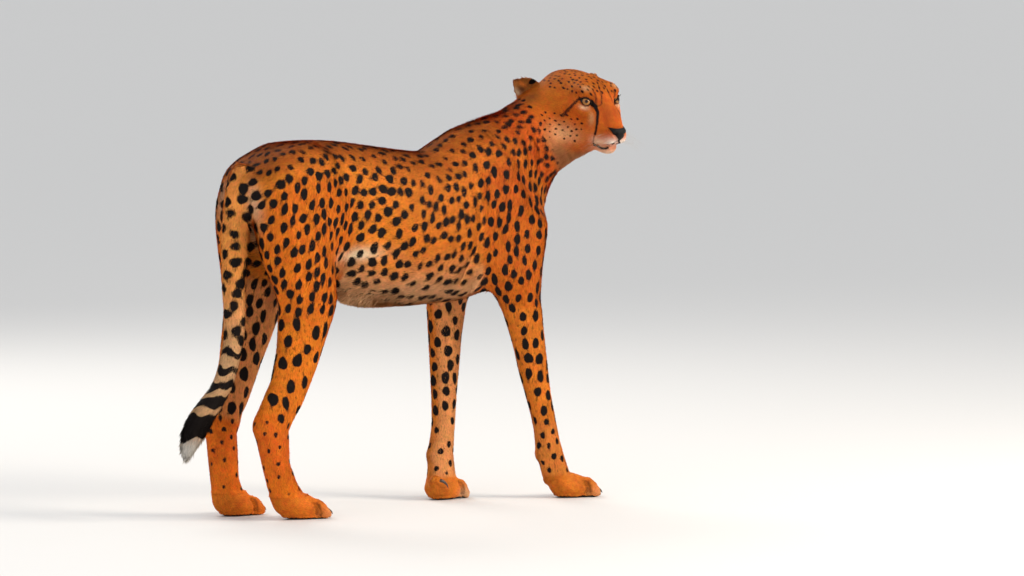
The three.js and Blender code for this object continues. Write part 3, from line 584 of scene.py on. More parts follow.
# the colour under the spots
areaColours = {
    "back": (0.54, 0.135, 0.016), "flank": (0.80, 0.235, 0.020), "ribs": (0.70, 0.192, 0.018),
    "belly": (0.84, 0.46, 0.22), "chest": (0.72, 0.20, 0.018), "neck": (0.64, 0.110, 0.004),
    "crown": (0.54, 0.13, 0.012), "face": (0.60, 0.115, 0.006), "throat": (0.36, 0.125, 0.042),
    "ear": (0.42, 0.14, 0.03), "tail": (0.95, 0.36, 0.075), "thigh": (0.76, 0.18, 0.011),
    "shank": (0.82, 0.215, 0.014), "hock": (0.78, 0.175, 0.008), "paw_hind": (0.68, 0.165, 0.013),
    "shoulder": (0.64, 0.140, 0.008), "forearm": (0.78, 0.215, 0.020), "wrist": (0.72, 0.22, 0.036),
    "paw_fore": (0.65, 0.170, 0.016),
}
colourTable = np.array([areaColours[name] for name in areaNames])
# the way the hair lies, in the row frame; head, ears, tail and paws have their own
areaLies = {
    "back": (-1, 0, -0.18), "flank": (-1, 0, -0.30), "ribs": (-1, 0, -0.35), "belly": (-1, 0, -0.10),
    "chest": (-0.45, 0, -1), "neck": (-0.75, 0, -0.55), "thigh": (-0.35, 0, -1), "shank": (-0.15, 0, -1),
    "hock": (0.1, 0, -1), "shoulder": (-0.35, 0, -1), "forearm": (-0.05, 0, -1), "wrist": (0.05, 0, -1),
}
# the way the spots are drawn out, where that is not along the lie
areaRuns = {
    "back": (0.45, 0, -1), "flank": (0, 0, -1), "ribs": (-0.05, 0, -1), "belly": (-0.5, 0, -1),
    "chest": (-0.35, 0, -1), "neck": (0.7, 0, -0.8), "thigh": (-0.15, 0, -1), "shank": (0.05, 0, -1),
    "hock": (0, 0, -1), "shoulder": (0.1, 0, -1), "forearm": (0.1, 0, -1), "wrist": (0, 0, -1),
}
# where along the body the rump ends and the ribs begin
rumpEnd, ribsBegin = 190, 300
# the tail's middle line, as height and x
tailLine = [
    (130, -232), (152, -227), (180, -213), (208, -193), (232, -170), (260, -147), (304, -128),
    (353, -116), (411, -113), (470, -115), (540, -112), (600, -107), (650, -97), (684, -74),
]
tailReach = np.concatenate([[0], np.cumsum(np.hypot(*np.diff(np.array(tailLine, float), axis=0).T))])
# the left ear in the head's frame: its root, the way it points and the way it opens
earRoot = np.array([-115, 70, -27])
earPoints = np.array([-0.33, 0.81, 0.48]) / np.linalg.norm([-0.33, 0.81, 0.48])
earOpens = np.array([0.9, 0.3, 0.12]) / np.linalg.norm([0.9, 0.3, 0.12])
earWide = np.cross(earPoints, earOpens)


def tailPlace(body):
    return np.interp(body[:, 2], [z for z, _ in tailLine], tailReach)


def tailPoint(reach):
    heights, sweep = np.array(tailLine, float).T
    return np.stack([np.interp(reach, tailReach, sweep), np.interp(reach, tailReach, heights)], axis=1)


def areaShares(mesh):
    places, normals = placesOf(mesh), normalsOf(mesh)
    body, head = toBody(places), toHead(places)
    soft = softened(np.eye(len(kinds))[kindsAt(places)], neighboursOf(mesh), 16)
    shares = {kind: soft[:, i] for i, kind in enumerate(kindNames)}
    trunk, skull = shares.pop("trunk"), shares.pop("head")
    up, down = ramp(normals[:, 2], 0.25, 0.75), ramp(-normals[:, 2], 0.15, 0.75)
    front = ramp(body[:, 0], 520, 600) * (1 - up)
    shares.update(back=trunk * up, belly=trunk * down * (1 - front), chest=trunk * front)
    side = trunk * (1 - up) * (1 - down) * (1 - front)
    ribs = ramp(body[:, 0], rumpEnd, ribsBegin)
    shares.update(flank=side * (1 - ribs), ribs=side * ribs)
    above = ramp(head[:, 2] - 0.20 * head[:, 0], 4, 26)
    behind = ramp(-head[:, 0], 28, 70)
    below = ramp(-head[:, 2] - 0.35 * head[:, 0], 78, 104) * ramp(head[:, 0], -85, -45)
    shares["throat"] = skull * below
    shares["crown"] = skull * (1 - below) * np.maximum(above * 0.9, behind)
    shares["face"] = skull - shares["throat"] - shares["crown"]
    return np.stack([shares[name] for name in areaNames], axis=1)


def ofArea(shares, column):
    return shares @ areaTable[:, areaColumns.index(column)]


def areaOf(shares, *names):
    return shares[:, [areaNames.index(name) for name in names]].sum(1)


def earFlips(head):
    flip = np.where(head[:, 1] > 0, 1.0, -1.0)
    return np.stack([flip * 0 + 1, flip, flip * 0 + 1], axis=1)


def lieAt(places, normals, shares):
    body, head = toBody(places), toHead(places)
    sides = np.where(body[:, 1] > 0, 1.0, -1.0)
    lies = np.zeros_like(places)
    for name, way in areaLies.items():
        lies += areaOf(shares, name)[:, None] * unit(np.array(way))
    # on the face away from the nose, over brow and cheek
    fromNose = unit(head - (92, 0, -38)) + (0, 0, 0.001)
    lies += areaOf(shares, "crown", "face", "throat")[:, None] * turned(fromNose)
    lies += areaOf(shares, "ear")[:, None] * turned(earPoints * earFlips(head))
    reach = tailPlace(body)
    way = unit(tailPoint(reach - 12) - tailPoint(reach + 12))
    way = np.stack([way[:, 0], way[:, 0] * 0, way[:, 1]], axis=1)
    lies += areaOf(shares, "tail")[:, None] * way
    for leg, (_, turn) in footPlaces.items():
        mine = (sides > 0) == leg.endswith("left")
        share = areaOf(shares, "paw_" + leg[:4]) * mine
        way = np.array([math.cos(math.radians(turn)), math.sin(math.radians(turn)), -0.35])
        lies += share[:, None] * way
    swirl = np.sin(body @ (0.021, 0.017, 0.013)) + np.sin(body @ (-0.045, 0.031, 0.052) + 1.3)
    lies += 0.10 * swirl[:, None] * np.cross(normals, unit(lies))
    return unit(lies - normals * (lies * normals).sum(1)[:, None])


def runAt(normals, shares, lies):
    runs = areaOf(shares, "tail")[:, None] * np.cross(normals, lies)
    for name in areaNames:
        share = areaOf(shares, name)[:, None]
        if name in areaRuns:
            runs += share * unit(np.array(areaRuns[name]))
        elif name != "tail":
            runs += share * lies
    return unit(runs - normals * (runs * normals).sum(1)[:, None])


def soleAt(places, normals, shares):
    paws = areaOf(shares, "paw_hind", "paw_fore")
    return ramp(paws, 0.2, 0.5) * ramp(-normals[:, 2], 0.3, 0.7) * ramp(-places[:, 2] / mm, -9, -5)


# how much of the coat's depth the skin gives way to, and its least height over the floor in mm
underCoat = {"share": 0.85, "floor": 0.25}


def lowerSkin(mesh, shares):
    places, normals = placesOf(mesh), normalsOf(mesh)
    sole = soleAt(places, normals, shares)
    depth = ofArea(shares, "depth") * underCoat["share"] * (1 - sole) + skinPlan["fatten"]
    lowered = places - normals * depth[:, None] * mm
    lowered[:, 2] = np.maximum(lowered[:, 2], underCoat["floor"] * mm)
    setPlaces(mesh, lowered)


shares = areaShares(skin.data)
lowerSkin(skin.data, shares)
print("skin lowered under the coat")


# the face's strokes, on both sides: a route in head mm, its radius and its push
faceStrokes = [
    # brow, the hollow by the bridge, cheek bone and the hollow under it
    ([(16, 29, 17), (3, 43, 19), (-9, 53, 13)], 6.5, 1.5),
    ([(30, 20, 6), (44, 20, -12), (56, 20, -26)], 6, -1.2),
    ([(18, 46, -15), (4, 57, -13), (-10, 66, -16)], 7, 1.4),
    ([(26, 44, -34), (8, 56, -34), (-8, 64, -40)], 9, -1.4),
    # whisker pad, its edges, and chin
    ([(74, 17, -60), (62, 24, -60)], 9, 2.4),
    ([(50, 33, -46), (46, 36, -62), (46, 36, -72)], 4.5, -1.6),
    ([(72, 6, -88), (66, 12, -89)], 7, 1.0),
    # nostril and its slit
    ([(84, 10, -44), (83, 11, -45)], 3.4, -4.2),
    ([(82, 13, -45), (78, 17, -43), (74, 19, -41)], 1.8, -2.0),
    # mouth
    ([(87, 0, -65), (83, 7, -70), (74, 16, -76), (62, 24, -81), (52, 30, -79), (49, 33, -73)], 1.9, -2.2),
    ([(84, 5, -74), (74, 16, -81), (62, 23, -86), (54, 27, -86)], 2.6, 0.8),
]
philtrum = ([(88, 0, -56), (88, 0, -66)], 1.7, -1.8)
eyePlan = {"ball": (7, 37.5, 0), "radius": 12.5, "half": 13.6, "upper": 6.3, "lower": 5.8}
# the lids, upper then lower: the rim's rise, the crease's depth and the dark edge's width; then how far
# the rim starts under the ball, where the crease lies and its width, and where the lid fades out
lidPlan = {
    "rims": (1.9, 1.3), "creases": (0.9, 0.5), "dark": (4.4, 1.6),
    "under": 1.6, "crease": 4.6, "creaseWidth": 1.3, "fade": (1.6, 8.5),
}
# which way an eye looks, and which way its slit runs outward, on the left side
eyeLooks = (0.76, 0.60, 0.18)
eyeRuns = (-0.60, 0.80, 0.20)


def eyeAxes(side):
    look = unit(onSide(eyeLooks, side))
    run = onSide(eyeRuns, side)
    run = unit(run - look * (run @ look))
    rise = np.cross(look, run)
    return look, run, rise * np.sign(rise[2])


def eyeBall(side):
    return onSide(eyePlan["ball"], side)


# how high a lid stands over the slit's middle, from 1 there to 0 at the corners
def lidArch(place):
    return (1 - place ** 2) ** 0.72


def slitEdge():
    steps = np.linspace(-1, 1, 61)
    arch = lidArch(steps)
    top = np.stack([steps, arch], axis=1) * (eyePlan["half"], eyePlan["upper"])
    low = np.stack([steps, -arch], axis=1) * (eyePlan["half"], eyePlan["lower"])
    return np.concatenate([top, low[::-1]])


# the way along the ball from the slit's edge, negative inside it, then the height and the distance
def slitDistance(head, side):
    ball = eyeBall(side)
    look, run, rise = eyeAxes(side)
    ray = unit(head - ball)
    ahead = ray @ look
    across = np.arctan2(ray @ run, ahead) * eyePlan["radius"]
    up = np.arctan2(ray @ rise, ahead) * eyePlan["radius"]
    spot = np.stack([across, up], axis=1)
    edge = slitEdge()
    gap = np.sqrt(((spot[:, None] - edge[None]) ** 2).sum(2).min(1))
    arch = lidArch(np.minimum(abs(across) / eyePlan["half"], 1))
    inside = (abs(across) < eyePlan["half"]) & (up < eyePlan["upper"] * arch)
    inside &= up > -eyePlan["lower"] * arch
    far = np.linalg.norm(head - ball, axis=1)
    gap = np.where(inside, -gap, gap)
    return np.where((ahead < 0.05) | (far > 30), 40.0, gap), up, far


def modelEye(mesh, side):
    head, ball = toHead(placesOf(mesh)), eyeBall(side)
    near = np.flatnonzero(np.linalg.norm(head - ball, axis=1) < 27)
    gap, up, far = slitDistance(head[near], side)
    rim, crease = np.where(up > 0, *lidPlan["rims"]), np.where(up > 0, *lidPlan["creases"])
    lid = eyePlan["radius"] - lidPlan["under"] + (lidPlan["under"] + rim) * ramp(gap, -0.5, 0.5)
    crease = crease * np.exp(-((gap - lidPlan["crease"]) / lidPlan["creaseWidth"]) ** 2)
    blend = ramp(gap, *lidPlan["fade"])
    reach = lid * (1 - blend) + far * blend - crease
    head[near] = ball + unit(head[near] - ball) * reach[:, None]
    setPlaces(mesh, fromHead(head))


def modelFace(mesh):
    strokes = [(fromHead(onSide(route, side)), radius, push, None)
               for route, radius, push in faceStrokes for side in (1, -1)]
    route, radius, push = philtrum
    press(mesh, strokes + [(fromHead(route), radius, push, None)])
    for side in (1, -1):
        modelEye(mesh, side)


modelFace(skin.data)
print("face modelled")


# fewer faces on the body, with the fine surface's places and normals
def thinSkin(skin, shares):
    fine = skin.data.copy()
    tree = treeOf(fine)
    triangles, places, normals = trianglesOf(fine), placesOf(fine), normalsOf(fine)
    head = toHead(places)
    free = ramp(np.linalg.norm(head - faceMiddle, axis=1), 92, 130)
    detail = areaOf(shares, "ear", "paw_hind", "paw_fore")
    free *= 1 - 0.8 * ramp(detail, 0.2, 0.6)
    setGroup(skin, "free", free)
    thin = skin.modifiers.new("thin", "DECIMATE")
    thin.ratio = skinPlan["triangles"] / len(triangles)
    thin.vertex_group = "free"
    thin.vertex_group_factor = 10
    applyModifiers(skin)
    skin.vertex_groups.clear()
    hits = [tree.find_nearest(place) for place in placesOf(skin.data).tolist()]
    spots = np.array([tuple(hit[0]) for hit in hits])
    corners = triangles[[hit[2] for hit in hits]]
    away = 1 / np.maximum(np.linalg.norm(places[corners] - spots[:, None], axis=2), 1e-7)
    away /= away.sum(1, keepdims=True)
    setPlaces(skin.data, spots)
    smooth = unit((normals[corners] * away[..., None]).sum(1))
    kept = (shares[corners] * away[..., None]).sum(1)
    bpy.data.meshes.remove(fine)
    return smooth, kept


skinNormals, shares = thinSkin(skin, shares)
skin.data.polygons.foreach_set("use_smooth", [True] * len(skin.data.polygons))
skin.data.normals_split_custom_set_from_vertices(skinNormals.tolist())
skinPlaces = placesOf(skin.data)
skinTriangles = trianglesOf(skin.data)
skinLies = lieAt(skinPlaces, skinNormals, shares)
sole = soleAt(skinPlaces, skinNormals, shares)
print("skin thinned,", len(skinTriangles), "triangles")


# places paler or darker than their area, some of them painted shade: frame, middle and radii in mm, colour
# and strength, both sides
tintsAndShade = [
    # over the eye, under it, beside the tear line, temple and the shade behind it, cheek and under it
    ("head", (6, 40, 25), (8, 10, 5), (0.74, 0.38, 0.17), 0.85),
    ("head", (16, 43, -10), (10, 9, 4.5), (0.80, 0.54, 0.32), 0.95),
    ("head", (38, 37, -26), (11, 4, 15), (0.68, 0.34, 0.15), 0.7),
    ("head", (-45, 72, -18), (34, 24, 22), (0.66, 0.16, 0.012), 0.8),
    ("head", (-84, 88, -30), (16, 26, 14), (0.14, 0.045, 0.015), 0.75),
    ("head", (-4, 66, -72), (38, 32, 19), (0.84, 0.41, 0.18), 0.95),
    ("head", (22, 44, -95), (24, 16, 10), (0.56, 0.13, 0.015), 0.7),
    # bridge of the nose, whisker pads in two parts, chin
    ("head", (48, 10, -14), (28, 13, 20), (0.42, 0.082, 0.004), 0.85),
    ("head", (86, 12, -62), (15, 18, 11), (0.95, 0.86, 0.76), 1.0),
    ("head", (62, 30, -66), (18, 10, 10), (0.84, 0.56, 0.36), 0.95),
    ("head", (68, 0, -90), (24, 26, 12), (0.90, 0.66, 0.46), 0.95),
    # flank fold, under the tail, painted shade under the belly and over the withers, and the painted shade
    # in the flank fold
    ("body", (152, 70, 516), (48, 34, 14), (0.92, 0.76, 0.50), 0.95),
    ("body", (-99, 54, 630), (10, 22, 46), (0.74, 0.46, 0.28), 0.8),
    ("body", (250, 0, 415), (170, 50, 26), (0.60, 0.36, 0.19), 0.7),
    ("body", (520, 0, 795), (110, 14, 20), (0.22, 0.08, 0.025), 0.4),
    ("body", (120, 62, 490), (40, 30, 14), (0.50, 0.27, 0.13), 0.6),
    # redder shoulder and hocks
    ("body", (520, 70, 660), (75, 60, 85), (0.52, 0.085, 0.003), 0.65),
    ("body", (-85, 70, 150), (60, 60, 62), (0.70, 0.120, 0.005), 0.75),
    # toes of the forefeet and of the hind feet
    ("body", (735, 66, 12), (20, 40, 14), (0.84, 0.58, 0.34), 0.7),
    ("body", (508, 66, 12), (20, 40, 14), (0.84, 0.58, 0.34), 0.7),
    ("body", (40, 66, 12), (20, 40, 14), (0.80, 0.50, 0.26), 0.6),
]
innerLeg = (0.86, 0.37, 0.13)
# the tail's lower half, and the hair past its last band
tailEnd, tailTip = (0.62, 0.38, 0.19), (0.82, 0.76, 0.68)
# the same on the ears: inside or back, the place along and across, radii, colour and strength
earMarksAndShade = [
    # the near-black mark inside, near the root, is painted shade in the ear's hollow
    (1, (26, 17), (22, 6), (0.62, 0.42, 0.27), 0.9), (1, (12, 6), (18, 10), (0.030, 0.014, 0.008), 0.95),
    (1, (28, -5), (20, 4.5), (0.72, 0.20, 0.03), 0.85), (1, (44, -4), (10, 8), (0.20, 0.08, 0.03), 0.7),
    (-1, (45, 0), (9, 22), (0.60, 0.20, 0.05), 0.9), (-1, (4, 0), (10, 40), (0.60, 0.19, 0.04), 0.9),
]
# dark lines of the face, both sides: a route in head mm, the half widths at its ends, how dark it grows
faceLines = [
    # from the eye's inner corner down the tear line to the mouth
    ([(17, 31, 3), (20, 29, -1), (27, 25.5, -4.5)], 5.2, 4.6, 3),
    ([(25, 26, -4), (39, 28, -12), (48, 33, -30), (51.5, 36, -52)], 3.9, 2.9, 1.5),
    ([(50.5, 35, -47), (51.5, 36, -53)], 3.2, 4.0, 1.5),
    ([(51.5, 36, -50), (52, 37.5, -72)], 2.8, 2.2, 0.25),
    # behind the eye, from the brow to the nose and over the inner corner
    ([(1, 50, 6), (-5, 60.5, -13), (-19, 67.5, -38)], 3.6, 4.2, 0.75),
    ([(-6, 4, 35), (10, 9, 28), (25, 12, 14), (33, 17, 4), (31, 22, -2)], 1.8, 2.2, 0.4),
    ([(12, 28, 20), (22, 24, 10), (24, 24, 2)], 2.8, 3.0, 0.3),
    # the mouth, and the line under the nose
    ([(88, 0, -65), (83, 7, -70), (74, 16, -76), (62, 24, -81), (52, 30, -79), (49, 33, -73)], 2.5, 2.5, 2),
    ([(88, 0, -57), (88, 0, -66)], 1.7, 1.7, 2),
]
# the tail's black bands, and where its spots begin, in mm from its end
tailBands = [(34, 96), (112, 136), (152, 172), (190, 206), (224, 236)]
tailSpotsFrom = 246
# the whiskers' roots: four rows of four or five
whiskerDots = [
    (83 - 5.0 * k, 15 + 3.0 * k, -51 - 5.0 * row + 0.8 * k) for row in range(4) for k in range(4 + row % 2)
]
# the nose leather: half its width at heights in head mm, where it begins behind the tip, the share of it
# at which its own piece ends, and how far that piece rises in the middle and sinks at its edge
leatherPlan = {
    "heights": (-60, -57, -53, -49, -45, -41, -36), "halves": (0.5, 2.2, 5, 9, 13.5, 17.5, 20), "from": 62,
    "edge": 0.35, "rise": 1.9, "sink": 0.25,
}


def leatherAt(head):
    half = np.interp(head[:, 2], leatherPlan["heights"], leatherPlan["halves"])
    top = -32.5 - 1.5 * (head[:, 1] / 20) ** 2
    inside = np.minimum(half - abs(head[:, 1]), top - head[:, 2])
    return ramp(inside, -1.2, 1.2) * (head[:, 0] > leatherPlan["from"]) * ramp(head[:, 2], -61, -58)


skinTree = treeOf(skin.data)
faceDots = []
for route, first, last, cap in faceLines:
    for side in (1, -1):
        dots = toHead(dotsOnSkin(fromHead(dotsAlong(onSide(route, side), 1.0)), skinTree))
        faceDots.append((dots, np.linspace(first, last, len(dots)), cap))
# dots along the creases between the toes and down the paws' sides, where the coat gets painted shade
toeCreaseShadeDots = [dotsOnSkin(dotsAlong(np.array(route), 1.5 * mm), skinTree)
           for plan in (toeGrooves, toeSides) for route in toeRoutes(plan)]


def lineMark(head):
    mark = np.full(len(head), -9.0)
    for dots, halves, cap in faceDots:
        near = np.flatnonzero(((head > dots.min(0) - 10) & (head < dots.max(0) + 10)).all(1))
        for start in range(0, len(near), batch):
            some = near[start:start + batch]
            gap = np.sqrt(((head[some, None] - dots[None]) ** 2).sum(2))
            mark[some] = np.maximum(mark[some], np.minimum((halves - gap).max(1), cap))
    for side in (1, -1):
        near = np.flatnonzero(np.linalg.norm(head - eyeBall(side), axis=1) < 22)
        gap, up, _ = slitDistance(head[near], side)
        mark[near] = np.maximum(mark[near], np.where(up > 0, *lidPlan["dark"]) - gap)
    return mark


def earPlace(head, normals):
    flips = earFlips(head)
    local = head * flips - earRoot
    facing = (normals * turned(earOpens * flips)).sum(1)
    return np.stack([local @ earPoints, local @ earWide], axis=1), facing


# the dark patch on an ear's back and the one at its edge, each with its place and radius
def earMark(head, normals):
    place, facing = earPlace(head, normals)
    back = 13 - np.linalg.norm((place - (24, 0)) * (0.9, 0.75), axis=1)
    edge = 7.5 - np.linalg.norm(place - (15, -20), axis=1)
    return np.where(facing < -0.1, np.maximum(back, edge), edge)


def tailMark(body, shares):
    reach = tailPlace(body)
    # bands that waver round the tail, the upper ones broken on its inner side
    reach = reach + 5 * np.sin(body[:, 1] * 0.16 + reach * 0.05) + 3 * np.sin(body[:, 0] * 0.21 + 1.7)
    edges = [np.minimum(reach - low, high - reach) for low, high in tailBands]
    bands = np.maximum.reduce(edges)
    broken = np.minimum(bands, np.where(reach > 160, 10 - body[:, 1], 20))
    return np.where(areaOf(shares, "tail") > 0.5, broken, -12)


def groundAt(places, normals, shares):
    body, head = toBody(places), toHead(places)
    both = {"body": folded(body), "head": folded(head)}
    colour = shares @ colourTable
    legs = areaOf(shares, "thigh", "shank", "shoulder", "forearm", "wrist")
    inner = legs * ramp(-np.sign(body[:, 1]) * normals[:, 1], 0.1, 0.8) * 0.75
    colour = toned(colour, innerLeg, inner)
    # the tints, among them painted shade under the belly, over the withers, behind the temple and in the
    # flank fold
    for where, middle, radii, tint, strength in tintsAndShade:
        colour = toned(colour, tint, strength * nearness(both[where], middle, radii))
    place, facing = earPlace(head, normals)
    onEar, onTail = areaOf(shares, "ear"), areaOf(shares, "tail")
    # the ears' marks, with the painted shade in the hollow of each ear
    for face, middle, radii, tint, strength in earMarksAndShade:
        share = strength * onEar * nearness(place, middle, radii) * ramp(face * facing, 0, 0.3)
        colour = toned(colour, tint, share)
    reach = tailPlace(body)
    colour = toned(colour, tailEnd, 0.9 * ramp(-reach, -420, -200) * onTail)
    colour = toned(colour, tailTip, ramp(-reach, -70, -30) * onTail)
    # painted shade in the creases between the toes and down the paws' sides
    for dots in toeCreaseShadeDots:
        colour *= 1 - 0.5 * np.exp(-(distanceTo(places, dots, 0.008) / (2.4 * mm)) ** 2)[:, None]
    return np.clip(colour, 0.01, 0.95)


def scatter(perMm):
    corners = skinPlaces[skinTriangles]
    span = np.cross(corners[:, 1] - corners[:, 0], corners[:, 2] - corners[:, 0])
    size = np.linalg.norm(span, axis=1) / 2 / mm ** 2
    counts = np.floor(perMm[skinTriangles].mean(1) * size + rng.random(len(size))).astype(int)
    owner = np.repeat(np.arange(len(size)), counts)
    first = np.sqrt(rng.random(len(owner)))
    second = rng.random(len(owner))
    return owner, np.stack([1 - first, first * (1 - second), first * second], axis=1)


def blended(values, owner, weights):
    return (values[skinTriangles[owner]] * weights[:, :, None]).sum(1)


# how likely a spot is to be kept: none on the plain parts of head and tail, fewer inside the legs and low
def spotRoom(places, normals, shares, small):
    body, head = toBody(places), toHead(places)
    aside, ahead, high = abs(head[:, 1]), head[:, 0], head[:, 2]
    face = areaOf(shares, "face", "throat")
    cheek = (high < -32) & (high > -84) & (ahead < 22) & (aside > 40)
    brow = (high > 18) & (ahead < 12)
    plain = (face > 0.5) & ~cheek & ~brow
    plain |= (areaOf(shares, "crown") > 0.3) & (high < 2) & (aside > 48)
    plain |= areaOf(shares, "ear") > 0.2
    plain |= (tailPlace(body) < tailSpotsFrom) & (areaOf(shares, "tail") > 0.5)
    if small:
        plain &= (face < 0.3) | (ahead > 20)
    inner = ramp(-np.sign(body[:, 1]) * normals[:, 1], 0.3, 0.8) * (body[:, 2] < 430)
    lower = ramp(-body[:, 2], -190, -120) * 0.75
    return np.where(plain, 0, (1 - 0.6 * inner) * (1 - lower))


# spots: the least and the spread of a chance share in size and stretch, the share of the gap that is
# kept free, how far through the skin a spot shows in mm, and the size and gap of the specks between
spotPlan = {
    "sizes": (0.88, 0.26), "stretches": (0.9, 0.25), "free": 0.88, "through": 9, "specks": (0.34, 0.62),
}
# the cell of a grid and those round it
cellSteps = [(i, j, k) for i in (-1, 0, 1) for j in (-1, 0, 1) for k in (-1, 0, 1)]


# spots at chance places that keep away from each other and from those given
def sowSpots(scale, gapScale, given=None):
    owner, weights = scatter(np.full(len(skinPlaces), 0.06))
    order = rng.permutation(len(owner))
    owner, weights = owner[order], weights[order]
    places, normals = blended(skinPlaces, owner, weights), unit(blended(skinNormals, owner, weights))
    mine = blended(shares, owner, weights)
    runs = runAt(normals, mine, unit(blended(skinLies, owner, weights)))
    radii, gaps = ofArea(mine, "spot") * scale, ofArea(mine, "gap") * gapScale
    stretch = ofArea(mine, "stretch")
    room = (rng.random(len(owner)) < spotRoom(places, normals, mine, given is not None)) & (radii > 0.9)
    chosen, grid, cell = [], {}, 0.03

    def cellOf(place):
        return tuple(np.floor(place / cell).astype(int))

    def near(place):
        x, y, z = cellOf(place)
        return [item for i, j, k in cellSteps for item in grid.get((x + i, y + j, z + k), ())]

    if given is not None:
        for place, size in zip(given["at"], given["radius"] + 2.5 * mm):
            grid.setdefault(cellOf(place), []).append((place, size))
    for i in np.flatnonzero(room):
        others = near(places[i])
        if others:
            at = np.array([other[0] for other in others]) - places[i]
            run = at @ runs[i]
            gap = np.sqrt(np.maximum((at ** 2).sum(1) - run ** 2 * (1 - 1 / stretch[i] ** 2), 0))
            own = gaps[i] * mm * spotPlan["free"]
            least = np.array([own if other[1] == 0 else other[1] for other in others])
            if (gap < least).any():
                continue
        grid.setdefault(cellOf(places[i]), []).append((places[i], 0))
        chosen.append(i)
    chosen = np.array(chosen)
    size = radii[chosen] * mm * varied(spotPlan["sizes"], len(chosen))
    return {
        "at": places[chosen], "normal": normals[chosen], "along": runs[chosen], "radius": size,
        "stretch": np.sqrt(stretch[chosen]) * varied(spotPlan["stretches"], len(chosen)),
        "phase": rng.random((len(chosen), 3)) * 2 * math.pi,
    }


# how far inside a spot each point is, in mm and up to a cap
def spotMark(points, spots, cap):
    mark = np.full(len(points), -12.0)
    cell = 0.016
    low = points.min(0) - 2 * cell

    def keyOf(cells):
        return (cells[..., 0] * 4096 + cells[..., 1]) * 4096 + cells[..., 2]

    keys = keyOf(np.floor((points - low) / cell).astype(np.int64))
    order = np.argsort(keys, kind="stable")
    sortedKeys = keys[order]
    around = keyOf(np.floor((spots["at"] - low) / cell).astype(np.int64)[:, None] + np.array(cellSteps))
    starts = np.searchsorted(sortedKeys, around, "left")
    ends = np.searchsorted(sortedKeys, around, "right")
    sides = np.cross(spots["normal"], spots["along"])
    for i in range(len(spots["at"])):
        runs = [order[a:b] for a, b in zip(starts[i], ends[i]) if b > a]
        if not runs:
            continue
        some = np.concatenate(runs)
        off = points[some] - spots["at"][i]
        run, side = off @ spots["along"][i], off @ sides[i]
        long = spots["radius"][i] * spots["stretch"][i]
        wide = spots["radius"][i] / spots["stretch"][i]
        # the two faces of a thin part are kept apart
        off = abs(off @ spots["normal"][i]) > spotPlan["through"] * mm
        turn = np.arctan2(side / wide, run / long)
        first, second, third = spots["phase"][i]
        edge = 1 + 0.06 * np.cos(2 * turn + first) + 0.06 * np.cos(3 * turn + second)
        edge += 0.03 * np.cos(5 * turn + third)
        inside = (edge - np.hypot(run / long, side / wide)) * wide / mm
        inside[off] = -12
        mark[some] = np.maximum(mark[some], np.minimum(inside, cap))
    return mark


def dotSpots():
    at = np.concatenate([dotsOnSkin(fromHead(onSide(whiskerDots, side)), skinTree) for side in (1, -1)])
    normals = np.array([tuple(skinTree.find_nearest(place)[1]) for place in at.tolist()])
    along = unit(np.cross(normals, (0.3, 0.2, 0.9)))
    count = len(at)
    return {
        "at": at, "normal": normals, "along": along, "radius": np.full(count, 0.95 * mm),
        "stretch": np.ones(count), "phase": rng.random((count, 3)),
    }


spots = sowSpots(1.0, 1.0)
specks = sowSpots(*spotPlan["specks"], spots)
dots = dotSpots()
print("spots sown,", len(spots["at"]), "and", len(specks["at"]), "small")


def markAt(points, normals, shares):
    head, body = toHead(points), toBody(points)
    mark = spotMark(points, spots, 9)
    mark = np.maximum(mark, spotMark(points, specks, 0.25))
    mark = np.maximum(mark, spotMark(points, dots, 1))
    near = np.flatnonzero(areaOf(shares, "face", "crown", "throat", "ear") > 0.3)
    onFace = lineMark(head[near])
    ears = areaOf(shares[near], "ear") > 0.3
    onFace = np.maximum(onFace, np.where(ears, earMark(head[near], normals[near]), -9))
    mark[near] = np.maximum(mark[near], onFace)
    return np.clip(np.maximum(mark, tailMark(body, shares)), -12, 9)


def makePaint(name, roughness, **sockets):
    paint = bpy.data.materials.new(name)
    paint.use_nodes = True
    shader = paint.node_tree.nodes["Principled BSDF"]
    shader.inputs["Roughness"].default_value = roughness
    for socket, value in sockets.items():
        shader.inputs[socket.replace("_", " ")].default_value = value
    return paint, paint.node_tree, shader


def addNode(tree, kind, values=None, **settings):
    made = tree.nodes.new("ShaderNode" + kind)
    for key, value in settings.items():
        setattr(made, key, value)
    for key, value in (values or {}).items():
        if isinstance(value, bpy.types.NodeSocket):
            tree.links.new(value, made.inputs[key])
        else:
            made.inputs[key].default_value = value
    return made


def addNoise(tree, scale, detail=2.0):
    where = addNode(tree, "TexCoord").outputs["Object"]
    return addNode(tree, "TexNoise", {"Vector": where, "Scale": scale, "Detail": detail}).outputs["Fac"]


def addMix(tree, share, first, second):
    mix = addNode(tree, "Mix", {0: share, 6: first, 7: second}, data_type="RGBA")
    return mix.outputs[2]


def addBump(tree, shader, height, strength, distance):
    bump = addNode(tree, "Bump", {"Height": height, "Strength": strength, "Distance": distance})
    tree.links.new(bump.outputs["Normal"], shader.inputs["Normal"])


def ranged(tree, value, fromLow, fromHigh, low, high):
    values = {"Value": value, "From Min": fromLow, "From Max": fromHigh, "To Min": low, "To Max": high}
    return addNode(tree, "MapRange", values).outputs["Result"]


coatPlan = {"dark": (0.010, 0.006, 0.005), "roughness": 0.62, "specular": 0.12}


